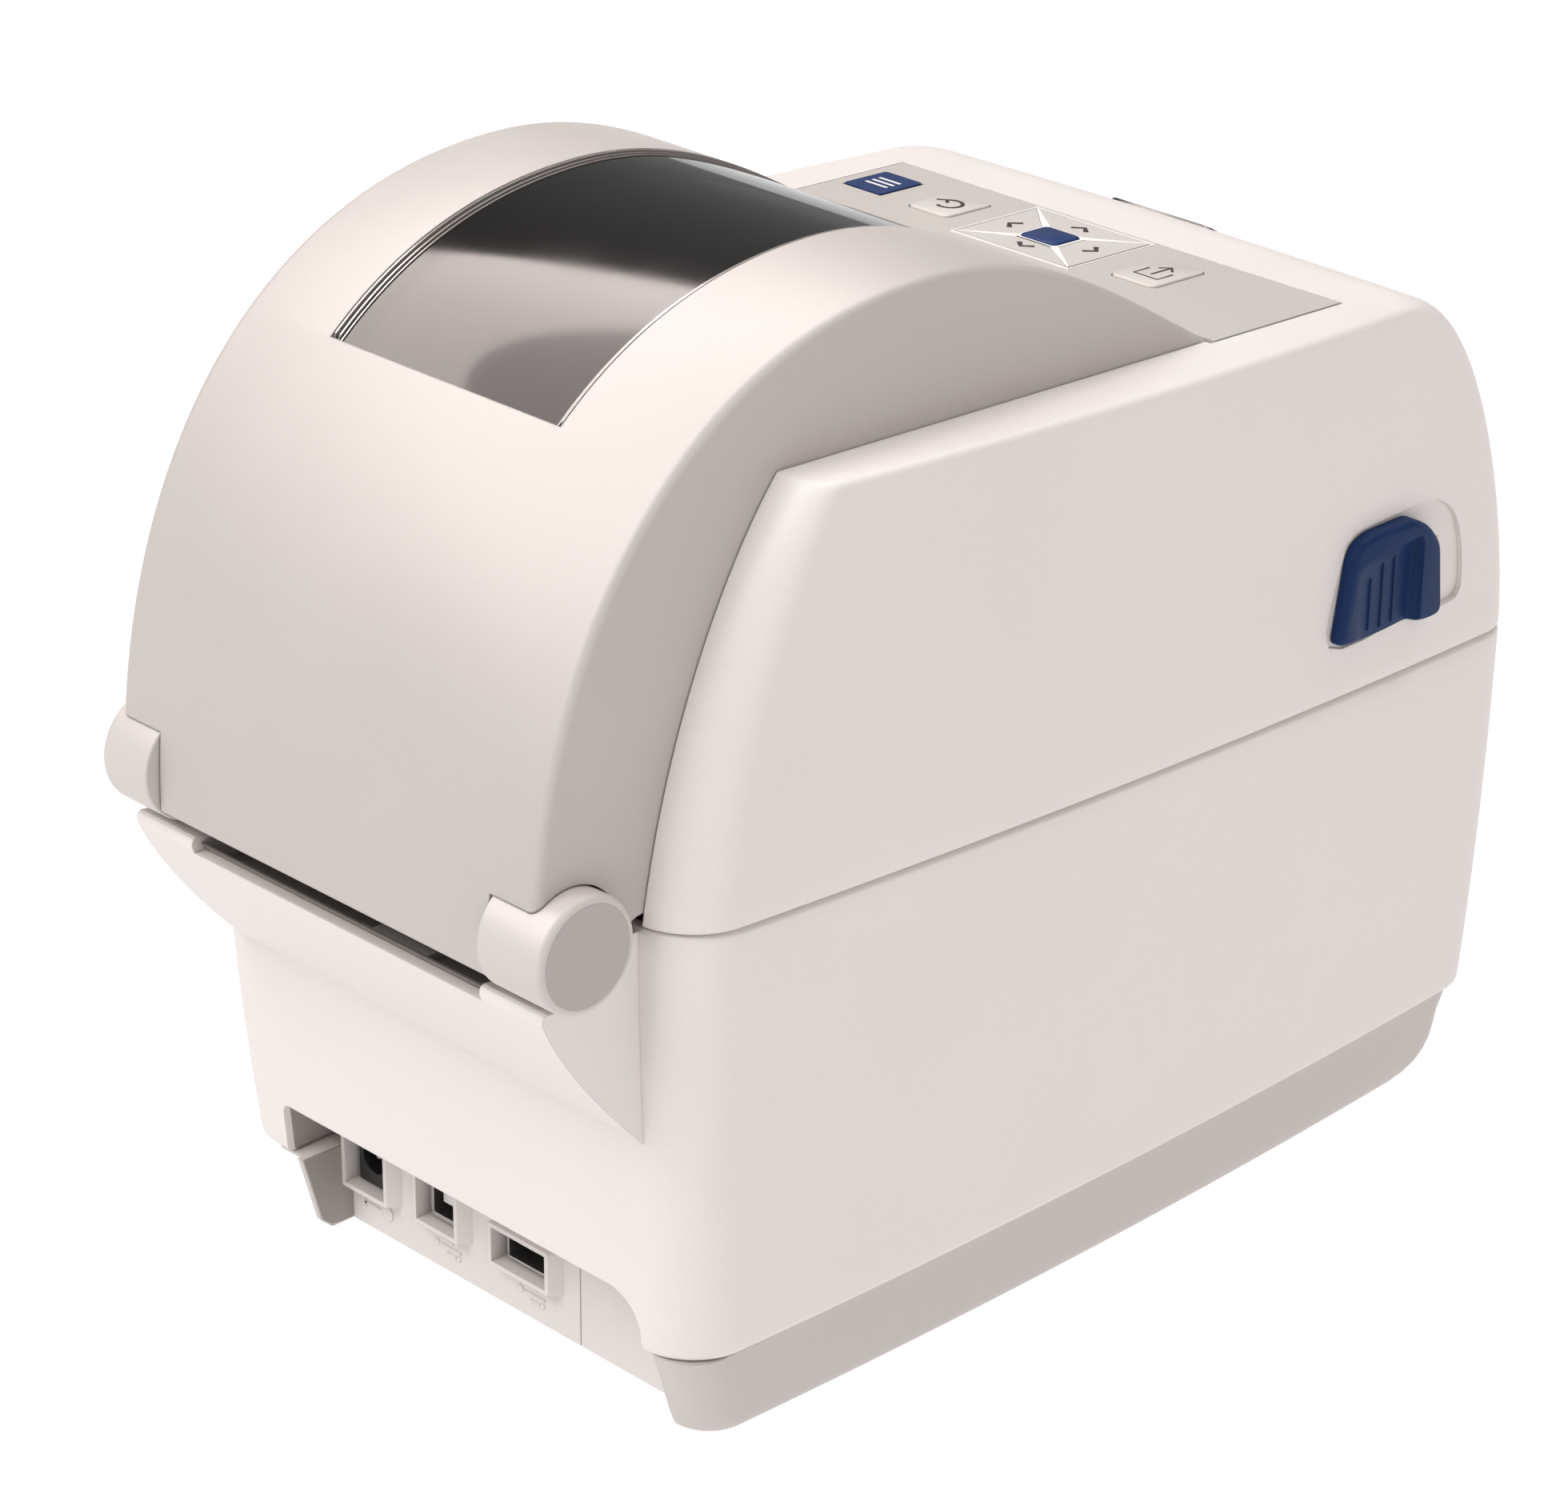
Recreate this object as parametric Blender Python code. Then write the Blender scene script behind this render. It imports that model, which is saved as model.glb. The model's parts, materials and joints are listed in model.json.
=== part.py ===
"""Desktop thermal-transfer label printer, built as separate pieces.

Frame: metres, +Z up, the origin on the table under the middle of the
printer.  The user's side with the label exit faces -Y, the hinge and the
sockets face +Y, and the lid swings up about an axis along X.
"""
import math

import bmesh
import bpy
from mathutils import Matrix, Vector

MM = 0.001
GAP = 0.3                      # clearance between neighbouring pieces, mm

# ---- driving dimensions, in mm -------------------------------------------------------
HALF_WIDTH = 78.5              # flat of the side walls, before their slight bow
SIDE_BOW = 3.0                 # outward bow of the side walls at mid-length
FRONT_Y = -147.3
FRONT_BOW = 4.0
REAR_Y = 119.0
CORNER = 15.0                  # plan radius of the vertical corners
WALL = 2.5
BASE_Z = 23.0                  # lower edge of the white base
PAN_Z = 2.6                    # underside of the grey pan
SEAM_REAR_Z = 125.0            # parting line at the rear wall
SEAM_SLOPE = 0.033
TOP_SLOPE = 0.0407             # the top runs down towards the user
TOP_ZERO_Z = 208.5             # height of the top at Y = 0

HINGE_Y = 138.0
HINGE_Z = 127.4
BARREL_R = 12.7
BARREL_IN = 52.0
BARREL_ENDS = {-1: 70.6, 1: 67.4}   # outer end of the hinge barrel on each side

ARCH_HALF = 65.0               # the arch cover stands between the side panels
ARCH_WALL = 2.5
WINDOW_X = (-32.0, 38.0)
PANEL_HALF = 66.5
PANEL_REAR_Y = -46.3
PANEL_FRONT_Y = -88.0
LEDGE_HALF = 64.2
LEDGE_TIP_Y = 144.5
SLOT_HALF = 45.5
PORT_X = (-59.6, 55.5)         # sides of the recess in the rear wall
PAN_RECESS_X = (-57.0, 51.0)   # sides of the same recess in the pan
PORT_ROOF_Z = 35.8
PORT_PANEL_Y = 97.0
MEDIA_X = 3.0                  # middle of the label path

PLATEN_Y = -130.0
PLATEN_Z = 109.0
PLATEN_R = 7.0
GEAR_MODULE = 0.8
GUIDE_Y = 22.0                 # shared axis of the label roll's two holders
GUIDE_MODULE = 0.56
GUIDE_TEETH = 14
PLATEN_TEETH, IDLER_TEETH, PINION_TEETH = 22, 37, 14
GEAR_MESH_GAP = 0.2            # slack added to each centre distance
GEAR_LINE_DEG = -43.0
MOTOR_HALF = 14.0

COLOURS = {
    "white": ((0.74, 0.70, 0.67), 0.42, 0.0),
    "light_grey": ((0.62, 0.58, 0.56), 0.45, 0.0),
    "warm_grey": ((0.56, 0.53, 0.50), 0.40, 0.0),
    "blue": ((0.03, 0.07, 0.20), 0.38, 0.0),
    "smoke": ((0.10, 0.10, 0.10), 0.08, 0.0),
    "black": ((0.02, 0.02, 0.02), 0.50, 0.0),
    "rubber": ((0.03, 0.03, 0.03), 0.80, 0.0),
    "steel": ((0.60, 0.60, 0.60), 0.28, 1.0),
    "board": ((0.02, 0.16, 0.06), 0.50, 0.0),
    "nylon": ((0.70, 0.68, 0.62), 0.50, 0.0),
}


def clear_scene():
    for obj in list(bpy.data.objects):
        bpy.data.objects.remove(obj, do_unlink=True)


def material(slot):
    found = bpy.data.materials.get(slot)
    if found:
        return found
    colour, roughness, metallic = COLOURS[slot]
    mat = bpy.data.materials.new(slot)
    mat.use_nodes = True
    shader = mat.node_tree.nodes["Principled BSDF"]
    shader.inputs["Base Color"].default_value = (*colour, 1.0)
    shader.inputs["Roughness"].default_value = roughness
    shader.inputs["Metallic"].default_value = metallic
    return mat


def finish(name, bm, slot, pivot=(0, 0, 0), smooth=35):
    """Turn a bmesh in mm into an object whose origin is at pivot."""
    bmesh.ops.transform(bm, matrix=Matrix.Translation(-Vector(pivot)), verts=bm.verts)
    bmesh.ops.scale(bm, vec=(MM, MM, MM), verts=bm.verts)
    bmesh.ops.recalc_face_normals(bm, faces=bm.faces)
    mesh = bpy.data.meshes.new(name)
    bm.to_mesh(mesh)
    bm.free()
    mesh.shade_smooth()
    mesh.set_sharp_from_angle(angle=math.radians(smooth))
    obj = bpy.data.objects.new(name, mesh)
    obj.location = Vector(pivot) * MM
    bpy.context.collection.objects.link(obj)
    if slot:
        mesh.materials.append(material(slot))
    return obj


def loft(name, rings, slot, pivot=(0, 0, 0), closed=False):
    """Skin a list of rings of equal length; closed joins the last to the first."""
    bm = bmesh.new()
    loops = [[bm.verts.new(p) for p in ring] for ring in rings]
    count = len(rings[0])
    spans = len(loops) if closed else len(loops) - 1
    for k in range(spans):
        low, high = loops[k], loops[(k + 1) % len(loops)]
        for i in range(count):
            j = (i + 1) % count
            bm.faces.new((low[i], low[j], high[j], high[i]))
    if not closed:
        bm.faces.new(list(reversed(loops[0])))
        bm.faces.new(loops[-1])
    return finish(name, bm, slot, pivot)


def prism_x(name, outline, x0, x1, slot, pivot=(0, 0, 0)):
    """Extrude a (y, z) outline along X."""
    return loft(name, [[(x, y, z) for y, z in outline] for x in (x0, x1)], slot, pivot)


def prism_z(name, outline, z0, z1, slot, pivot=(0, 0, 0)):
    return loft(name, [[(x, y, z) for x, y in outline] for z in (z0, z1)], slot, pivot)


def on_top(name, outline, rise0, rise1, slot, pivot=(0, 0, 0)):
    """A slab that follows the sloping top, between two heights above it."""
    rings = [[(x, y, top_z(y) + rise) for x, y in outline] for rise in (rise0, rise1)]
    return loft(name, rings, slot, pivot)


def box(name, low, high, slot, pivot=(0, 0, 0)):
    outline = rect(low[0], low[1], high[0], high[1])
    return prism_z(name, outline, low[2], high[2], slot, pivot)


def rect(x0, y0, x1, y1):
    return [(x0, y0), (x1, y0), (x1, y1), (x0, y1)]


def rounded_rect(x0, y0, x1, y1, radius, steps=4):
    """radius is one number, or four, anticlockwise from the corner at x1, y0."""
    radii = radius if isinstance(radius, tuple) else (radius,) * 4
    points = []
    corners = ((x1, -1, y0, 1, -90), (x1, -1, y1, -1, 0), (x0, 1, y1, -1, 90), (x0, 1, y0, 1, 180))
    for (cx, to_x, cy, to_y, start), r in zip(corners, radii):
        for i in range(steps + 1):
            a = math.radians(start + 90 * i / steps)
            points.append((cx + to_x * r + r * math.cos(a), cy + to_y * r + r * math.sin(a)))
    return points


def circle(cu, cv, radius, count=24, start=0.0):
    turn = 2 * math.pi / count
    return [(cu + radius * math.cos(start + i * turn), cv + radius * math.sin(start + i * turn))
            for i in range(count)]


def rod_x(name, y, z, radii, slot, count=24, pivot=None):
    """A turned piece along X: radii is a list of (x, radius)."""
    rings = [[(x, u, v) for u, v in circle(y, z, r, count)] for x, r in radii]
    return loft(name, rings, slot, pivot or (radii[0][0], y, z))


def gear_outline(cu, cv, teeth, module, tooth_at):
    """Outline of a spur gear with straight-sided teeth, one of them pointing at tooth_at."""
    tip, root = module * (teeth + 1.6) / 2, module * (teeth - 2.0) / 2
    pitch = 2 * math.pi / teeth
    outline = []
    for i in range(teeth):
        for part, radius in ((-0.31, root), (-0.14, tip), (0.14, tip), (0.31, root)):
            a = tooth_at + pitch * (i + part)
            outline.append((cu + radius * math.cos(a), cv + radius * math.sin(a)))
    return outline


def gear_x(name, y, z, teeth, tooth_at, x0, x1, slot):
    outline = gear_outline(y, z, teeth, GEAR_MODULE, tooth_at)
    return prism_x(name, outline, x0, x1, slot, (x0, y, z))


def boolean(target, tool, operation):
    mod = target.modifiers.new(operation.lower() + "_" + tool.name, "BOOLEAN")
    mod.operation = operation
    mod.object = tool
    mod.solver = "EXACT"
    tool.hide_render = True
    tool.display_type = "WIRE"


def cut(target, *tools):
    for tool in tools:
        boolean(target, tool, "DIFFERENCE")


def join(target, *tools):
    for tool in tools:
        boolean(target, tool, "UNION")


def bezier_at(points, t):
    """One point on a cubic curve with four handles."""
    p0, p1, p2, p3 = (Vector(p) for p in points)
    s = 1 - t
    return tuple(p0 * s ** 3 + p1 * 3 * s * s * t + p2 * 3 * s * t * t + p3 * t ** 3)


def bezier(points, steps):
    """Points along a cubic curve, both ends included."""
    return [bezier_at(points, i / steps) for i in range(steps + 1)]


def seam_z(y):
    return SEAM_REAR_Z + SEAM_SLOPE * (y - REAR_Y)


def top_z(y):
    return TOP_ZERO_Z + TOP_SLOPE * y


# ---- the plan outline that every casing ring follows ----------------------------------
def plan(half, front, rear, radius, bow, front_bow, corner_steps=4, bow_steps=6):
    """Rounded rectangle with bowed sides and front, anticlockwise from the front left."""
    points = []
    mid = (front + rear) / 2
    reach = (rear - front) / 2 - radius

    def corner(cx, cy, start):
        for i in range(corner_steps + 1):
            a = math.radians(start + 90 * i / corner_steps)
            points.append((cx + radius * math.cos(a), cy + radius * math.sin(a)))

    corner(-half + radius, front + radius, 180)
    span = half - radius
    for i in range(1, bow_steps):
        u = -1 + 2 * i / bow_steps
        points.append((u * span, front - front_bow * (1 - u * u)))
    corner(half - radius, front + radius, 270)
    for i in range(1, bow_steps):
        u = -1 + 2 * i / bow_steps
        points.append((half + bow * (1 - u * u), mid + u * reach))
    corner(half - radius, rear - radius, 0)
    corner(-half + radius, rear - radius, 90)
    for i in range(1, bow_steps):
        u = 1 - 2 * i / bow_steps
        points.append((-half - bow * (1 - u * u), mid + u * reach))
    return points


# ---- base ------------------------------------------------------------------------------
def base_ring(height, inset):
    """One ring of the base wall; height runs 0 at the lower edge to 1 at the seam."""
    drop = 1 - height
    taper = 4.6 * drop ** 2
    outline = plan(HALF_WIDTH - 0.85 * taper - inset, FRONT_Y + 0.6 * drop + inset,
                   REAR_Y - taper - inset, CORNER - inset, SIDE_BOW, FRONT_BOW)
    return [(x, y, BASE_Z + height * (seam_z(y) - GAP - BASE_Z)) for x, y in outline]


def ledge_outline():
    """Side view of the ledge under the hinge: flat top, rounded underside."""
    under = bezier([(LEDGE_TIP_Y, 112.0), (140.5, 102.0), (130.0, 88.0), (REAR_Y - 1.5, 75.0)], 8)
    return [(REAR_Y - 1.5, 110.5), (LEDGE_TIP_Y - 0.5, 114.2)] + under


def make_base_shell():
    heights = (0.0, 0.04, 0.2, 0.45, 0.75, 1.0)
    outer = [base_ring(h, 0.0) for h in heights]
    inner = [base_ring(h, WALL) for h in reversed(heights)]
    shell = loft("base_shell", outer + inner, "white", closed=True)
    ledge = prism_x("tool_ledge", ledge_outline(), -LEDGE_HALF, LEDGE_HALF, None)
    slot_under = 106.5
    slot = prism_x("tool_fanfold_slot", [(112.0, slot_under), (138.4, slot_under), (142.3, 112.8), (142.3, 140.0),
                                         (112.0, 140.0)], -SLOT_HALF, SLOT_HALF, None)
    notch = box("tool_slot_notch", (-SLOT_HALF, 140.0, 110.6), (SLOT_HALF, 150.0, 140.0), None)
    block = box("tool_port_block", (PORT_X[0] - WALL, 92.0, BASE_Z + 0.4),
                (PORT_X[1] + WALL, 114.0, PORT_ROOF_Z + WALL), None)
    mouth_outline = rounded_rect(PORT_X[0], 0.0, PORT_X[1], PORT_ROOF_Z, (1, 2, 9, 1))
    mouth = loft("tool_port_mouth", [[(x, y, z) for x, z in mouth_outline] for y in (130.0, 90.0)], None)
    join(shell, ledge, block)
    for side in (-1, 1):
        join(shell, box("tool_barrel_web_%d" % side, (min(side * 51.5, side * LEDGE_HALF), REAR_Y - 1.5, 108.0),
                        (max(side * 51.5, side * LEDGE_HALF), 131.0, 124.0), None))
    exit_z = seam_z(FRONT_Y) - 6.5
    label_exit = box("tool_label_exit", (MEDIA_X - 58, -160.0, exit_z), (MEDIA_X + 58, -140.0, 140.0), None)
    cut(shell, slot, notch, mouth, label_exit)
    for side in (-1, 1):
        seat = rod_x("tool_barrel_seat_%d" % side, HINGE_Y, HINGE_Z,
                     [(side * (BARREL_IN - 0.5), BARREL_R + GAP), (side * 72.0, BARREL_R + GAP)],
                     None, 40)
        cut(shell, seat)
    knuckle_room = rod_x("tool_knuckle_room", HINGE_Y, HINGE_Z, [(-BARREL_IN, 13.2), (BARREL_IN, 13.2)],
                         None, 32)
    cut(shell, knuckle_room)
    return shell


def make_pan():
    """The grey underside: a tray whose bow rises at the front, notched at the rear for the sockets."""
    top = BASE_Z - GAP
    levels = ((top, 73.2, -141.0, 113.0), (17.1, 72.9, -138.3, 111.2), (10.0, 72.5, -136.6, 109.2),
              (5.8, 72.1, -133.0, 107.9), (3.4, 71.7, -125.0, 107.1), (PAN_Z, 71.3, -118.0, 106.9))
    outer = [[(x, y, z) for x, y in plan(half, front, rear, 9.5, 2.6, 3.0, 3, 4)]
             for z, half, front, rear in levels]
    floor = PAN_Z + 2.5
    inner = [[(x, y, z) for x, y in plan(half, front, rear, 7.0, 2.6, 3.0, 3, 4)]
             for z, half, front, rear in ((floor, 69.0, -116.0, 104.0), (top, 70.7, -131.0, 110.0))]
    pan = loft("bottom_pan", list(reversed(outer)), "light_grey")
    tray = loft("tool_pan_tray", [inner[0], inner[1], [(x, y, top + 5) for x, y, _ in inner[1]]], None)
    mouth = box("tool_pan_mouth", (PAN_RECESS_X[0], PORT_PANEL_Y - 1.5, -5.0), (PAN_RECESS_X[1], 130.0, 60.0), None)
    side_mouth = box("tool_pan_side_mouth", (-61.5, PORT_PANEL_Y + 3.3, -5.0), (-50.0, 130.0, 60.0), None)
    corner = box("tool_pan_corner", (52.6, 93.0, -5.0), (90.0, 130.0, 60.0), None)
    post = prism_x("tool_pan_post", [(90.0, PAN_Z + 0.1), (105.5, PAN_Z + 0.1), (109.3, 4.8), (114.2, top - 0.1),
                                     (90.0, top - 0.1)], 51.0, 52.6, None)
    cut(pan, tray)
    join(pan, box("tool_pan_corner_wall", (51.5, 91.0, PAN_Z + 0.1), (71.0, 93.0, top - 0.1), None),
         box("tool_pan_block", (-66.0, 98.0, PAN_Z + 0.1), (-56.0, 105.0, top - 0.1), None))
    back = box("tool_pan_back", (PAN_RECESS_X[0] - 1.5, PORT_PANEL_Y - 4.0, PAN_Z + 0.2),
               (PAN_RECESS_X[1] + 1.5, PORT_PANEL_Y + 1.0, 11.6), None)
    cut(pan, mouth, side_mouth, corner)
    join(pan, back, post)
    return pan


FEET = {                       # name: (x0, y0, x1, y1)
    "foot_front_left": (-69.0, -110.0, -53.0, -90.0),
    "foot_front_right": (53.0, -110.0, 69.0, -90.0),
    "foot_rear_left": (-69.0, 75.0, -53.0, 95.0),
    "foot_rear_right": (53.0, 69.0, 69.0, 89.0),
}


def make_feet():
    for name, (x0, y0, x1, y1) in FEET.items():
        rings = [[(x, y, z) for x, y in rounded_rect(x0 + g, y0 + g, x1 - g, y1 - g, 5, 3)]
                 for z, g in ((0.0, 1.2), (PAN_Z - GAP, 0.0))]
        loft(name, rings, "rubber")


PORTS = (                      # name, middle X, width of the opening, its lower edge Z, its height
    ("dc_jack", 42.6, 11.6, 13.8, 15.0),
    ("usb_b_port", 18.5, 11.0, 14.7, 11.6),
    ("usb_a_port", -8.8, 15.7, 14.5, 7.8),
)
COLLAR_REACH = 2.8             # how far the socket collars stand out of their plate
COLLAR_RIM = 1.6


def make_port_panel():
    """Plate with a raised collar round each socket."""
    back = PORT_PANEL_Y + 1.3
    outline = rounded_rect(PAN_RECESS_X[0] + GAP, PAN_Z + 0.2, PAN_RECESS_X[1] - GAP, PORT_ROOF_Z - GAP,
                           (0.5, 0.5, 8.0, 0.5))
    panel = loft("port_panel", [[(x, y, z) for x, z in outline] for y in (back + 2.0, back)], "light_grey")
    for name, mid, width, low, height in PORTS:
        outer = rect(mid - width / 2 - COLLAR_RIM, low - COLLAR_RIM, mid + width / 2 + COLLAR_RIM,
                     min(low + height + COLLAR_RIM, PORT_ROOF_Z - GAP))
        inner = rect(mid - width / 2, low, mid + width / 2, low + height)
        collar = loft("tool_collar_" + name, [[(x, y, v) for x, v in outer]
                                              for y in (back + 2.0 + COLLAR_REACH, back)], None)
        hole = loft("tool_hole_" + name, [[(x, y, v) for x, v in inner] for y in (back + 9.0, back - 3.0)], None)
        join(panel, collar)
        cut(panel, hole)
    return panel


def make_sockets():
    front = PORT_PANEL_Y + 1.6
    (_, dc_x, _, dc_low, _), (_, b_x, _, b_low, _), (_, a_x, _, a_low, _) = PORTS
    dc_z = dc_low + 7.5
    dc = box("dc_jack", (dc_x - 5.3, front - 13, dc_z - 7.0), (dc_x + 5.3, front + 1.8, dc_z + 7.0), "black")
    bore = loft("tool_dc_bore", [[(x, y, z) for x, z in circle(dc_x, dc_z, 4.0, 20)]
                                 for y in (front + 4, front - 9)], None)
    cut(dc, bore)
    z = b_low + 0.4
    socket_b = box("usb_b_port", (b_x - 5.1, front - 12, z), (b_x + 5.1, front + 1.8, z + 10.8), "steel")
    well_b = box("tool_b_well", (b_x - 4.1, front - 9, z + 1.0), (b_x + 4.1, front + 4, z + 9.8), None)
    tongue_b = box("tool_b_tongue", (b_x - 2.2, front - 10, z + 3.8), (b_x + 2.2, front + 0.6, z + 7.0), None)
    cut(socket_b, well_b)
    join(socket_b, tongue_b)
    z = a_low + 0.5
    socket_a = box("usb_a_port", (a_x - 7.1, front - 12, z), (a_x + 7.1, front + 1.8, z + 6.6), "steel")
    well_a = box("tool_a_well", (a_x - 6.5, front - 10, z + 0.6), (a_x + 6.5, front + 4, z + 6.0), None)
    tongue_a = box("tool_a_tongue", (a_x - 5.1, front - 11, z + 3.7), (a_x + 5.1, front + 0.4, z + 5.4), None)
    cut(socket_a, well_a)
    join(socket_a, tongue_a)
    board = box("main_board", (-46.0, 8.0, 10.2), (50.0, front - 6.5, 11.8), "board")
    return dc, socket_b, socket_a, board


def make_hinges():
    for side, word in ((-1, "left"), (1, "right")):
        end = BARREL_ENDS[side]
        radii = [(BARREL_IN, BARREL_R), (end - 2.0, BARREL_R), (end - 0.6, BARREL_R - 0.6), (end, BARREL_R - 2.2)]
        barrel = rod_x("hinge_barrel_" + word, HINGE_Y, HINGE_Z, [(side * x, r) for x, r in radii],
                       "light_grey", 40)
        bore = rod_x("tool_barrel_bore_" + word, HINGE_Y, HINGE_Z,
                     [(side * (BARREL_IN - 2), 3.0 + GAP), (side * (end - 5), 3.0 + GAP)], None, 16)
        cut(barrel, bore)
        rod_x("hinge_pin_" + word, HINGE_Y, HINGE_Z,
              [(side * 43.0, 3.0), (side * (end - 5 - GAP), 3.0)], "steel", 16)


def make_media_bay():
    """Inner frame: a floor with two side walls that carry the rollers."""
    x0, x1 = MEDIA_X - 62.0, MEDIA_X + 62.0
    side = [(-142.0, 92.0), (-142.0, 101.0), (-119.0, 113.0), (60.0, 116.0), (96.0, 112.0), (96.0, 40.0),
            (-60.0, 40.0)]
    tray = prism_x("media_frame", side, x0, x1, "black")
    hollow = [(-150.0, 99.5), (-150.0, 150.0), (110.0, 150.0), (110.0, 98.0), (78.0, 98.0), (62.0, 60.0),
              (20.0, 46.0), (-30.0, 50.0), (-64.0, 80.0), (-104.0, 98.5)]
    bay = prism_x("tool_media_bay", hollow, x0 + 3.0, x1 - 3.0, None)
    cut(tray, bay)
    journal = rod_x("tool_platen_journal", PLATEN_Y, PLATEN_Z, [(x0 - 5, 4.6), (x1 + 5, 4.6)], None, 20)
    opening = box("tool_journal_mouth", (x0 - 5, PLATEN_Y - 4.6, PLATEN_Z), (x1 + 5, PLATEN_Y + 4.6, 130.0), None)
    room = rod_x("tool_platen_room", PLATEN_Y, PLATEN_Z, [(x0 + 2.5, 9.4), (x1 - 2.5, 9.4)], None, 24)
    rack_slot = box("tool_rack_slot", (MEDIA_X - 58, 14.0, 30.0), (MEDIA_X + 58, 30.0, 56.0), None)
    motor_y, motor_z = gear_train()[-1][1]
    reach = MOTOR_HALF + GAP
    motor_room = box("tool_motor_room", (-54.5 - GAP, motor_y - reach, 20.0),
                     (-24.0 + GAP, motor_y + reach, motor_z + reach), None)
    cut(tray, journal, opening, room, rack_slot, motor_room)
    return tray


def rack_outline(x0, x1, way):
    """A toothed bar beside the guide pinion: way is 1 on its rear side, -1 on its front side."""
    pitch = math.pi * GUIDE_MODULE
    line = GUIDE_MODULE * GUIDE_TEETH / 2 + 0.12
    tip, root, back = line - 0.4 * GUIDE_MODULE, line + 1.0 * GUIDE_MODULE, 7.4
    first, last = math.ceil((x0 - MEDIA_X) / pitch + 0.4), math.floor((x1 - MEDIA_X) / pitch - 0.4)
    points = [(x0, back), (x0, root)]
    for i in range(first, last + 1):
        for part, reach in ((-0.31, root), (-0.14, tip), (0.14, tip), (0.31, root)):
            points.append((MEDIA_X + pitch * (i + part), reach))
    points += [(x1, root), (x1, back)]
    return [(x, GUIDE_Y + way * reach) for x, reach in points]


def make_roll_guides():
    """Two media guides that slide apart together, geared by a pinion under the floor."""
    for side, word in ((-1, "left"), (1, "right")):
        x = MEDIA_X + side * 40.0
        disc = [(y, z) for y, z in circle(GUIDE_Y, 92.0, 26.0, 28)]
        plate = prism_x("roll_guide_" + word, disc, x, x + side * 3.0, "nylon", (x, GUIDE_Y, 50.0))
        stalk = box("tool_guide_stalk_" + word, (min(x, x + side * 3.0), 18.0, 37.9),
                    (max(x, x + side * 3.0), 26.0, 80.0), None)
        hub = rod_x("tool_guide_hub_" + word, GUIDE_Y, 92.0, [(x + side * 1.0, 12.0), (x - side * 9.0, 10.0)],
                    None, 24)
        rack_y = GUIDE_Y - side * 6.0
        outline = rack_outline(min(x - side * 52.0, x + side * 3), max(x - side * 52.0, x + side * 3), -side)
        rack = prism_z("tool_guide_rack_" + word, outline, 34.5, 37.5, None)
        bridge = box("tool_guide_bridge_" + word, (min(x, x + side * 3.0), min(GUIDE_Y, rack_y) - 1.4, 34.5),
                     (max(x, x + side * 3.0), max(GUIDE_Y, rack_y) + 1.4, 38.5), None)
        join(plate, stalk, hub, rack, bridge)
    outline = gear_outline(MEDIA_X, GUIDE_Y, GUIDE_TEETH, GUIDE_MODULE, 0.0)
    prism_z("guide_pinion", outline, 34.5, 37.5, "nylon", (MEDIA_X, GUIDE_Y, 34.5))


def make_drive():
    """Platen roller with its gear, an idler, and the stepper motor with its pinion."""
    x0, x1 = MEDIA_X - 58.5, MEDIA_X + 58.5
    rod_x("platen_roller", PLATEN_Y, PLATEN_Z,
          [(x0 - 9.0, 3.0), (x0 + 1.0, 3.0), (x0 + 1.01, PLATEN_R), (x1 - 1.01, PLATEN_R), (x1 - 1.0, 3.0),
           (x1 + 4.0, 3.0), (x1 + 4.01, 3.6), (x1 + 6.0, 3.6)], "rubber", 28)
    gear_left = x0 - 13.2
    run = math.radians(GEAR_LINE_DEG)
    gear = gear_x("platen_gear", PLATEN_Y, PLATEN_Z, PLATEN_TEETH, run, gear_left, gear_left + 4.0, "nylon")
    bore = rod_x("tool_platen_bore", PLATEN_Y, PLATEN_Z, [(gear_left - 2, 2.0), (gear_left + 6, 2.0)], None, 12)
    cut(gear, bore)
    for name, (y, z), teeth, slot in gear_train():
        pitch = 2 * math.pi / teeth
        gear_x(name, y, z, teeth, run + math.pi + pitch / 2, gear_left, gear_left + 4.0, slot)


def gear_train():
    """Two idlers and the motor pinion, in line from the platen down to the motor."""
    run = math.radians(GEAR_LINE_DEG)
    reach, last = 0.0, PLATEN_TEETH
    train = []
    for name, teeth, slot in (("idler_gear_front", IDLER_TEETH, "nylon"),
                              ("idler_gear_rear", IDLER_TEETH, "nylon"),
                              ("motor_pinion", PINION_TEETH, "steel")):
        reach += GEAR_MODULE * (last + teeth) / 2 + GEAR_MESH_GAP
        last = teeth
        train.append((name, (PLATEN_Y + reach * math.cos(run), PLATEN_Z + reach * math.sin(run)), teeth, slot))
    return train


def make_base_details():
    box("media_sensor", (MEDIA_X - 7, -118.0, 100.2), (MEDIA_X + 7, -106.0, 103.5), "black")
    bar = [(-143.6, 101.8), (-139.5, 101.8), (-139.5, 106.0), (-141.5, 111.4)]
    prism_x("tear_bar", bar, MEDIA_X - 54.0, MEDIA_X + 54.0, "steel")
    clip = [(127.0, 107.0), (137.9, 107.0), (140.1, 110.4), (138.8, 110.4), (137.2, 108.4), (127.0, 108.4)]
    prism_x("slot_clip", clip, -20.5, -3.0, "warm_grey")
    y, z = gear_train()[-1][1]
    box("stepper_motor", (-54.5, y - MOTOR_HALF, z - MOTOR_HALF), (-24.0, y + MOTOR_HALF, z + MOTOR_HALF), "black")


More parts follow.
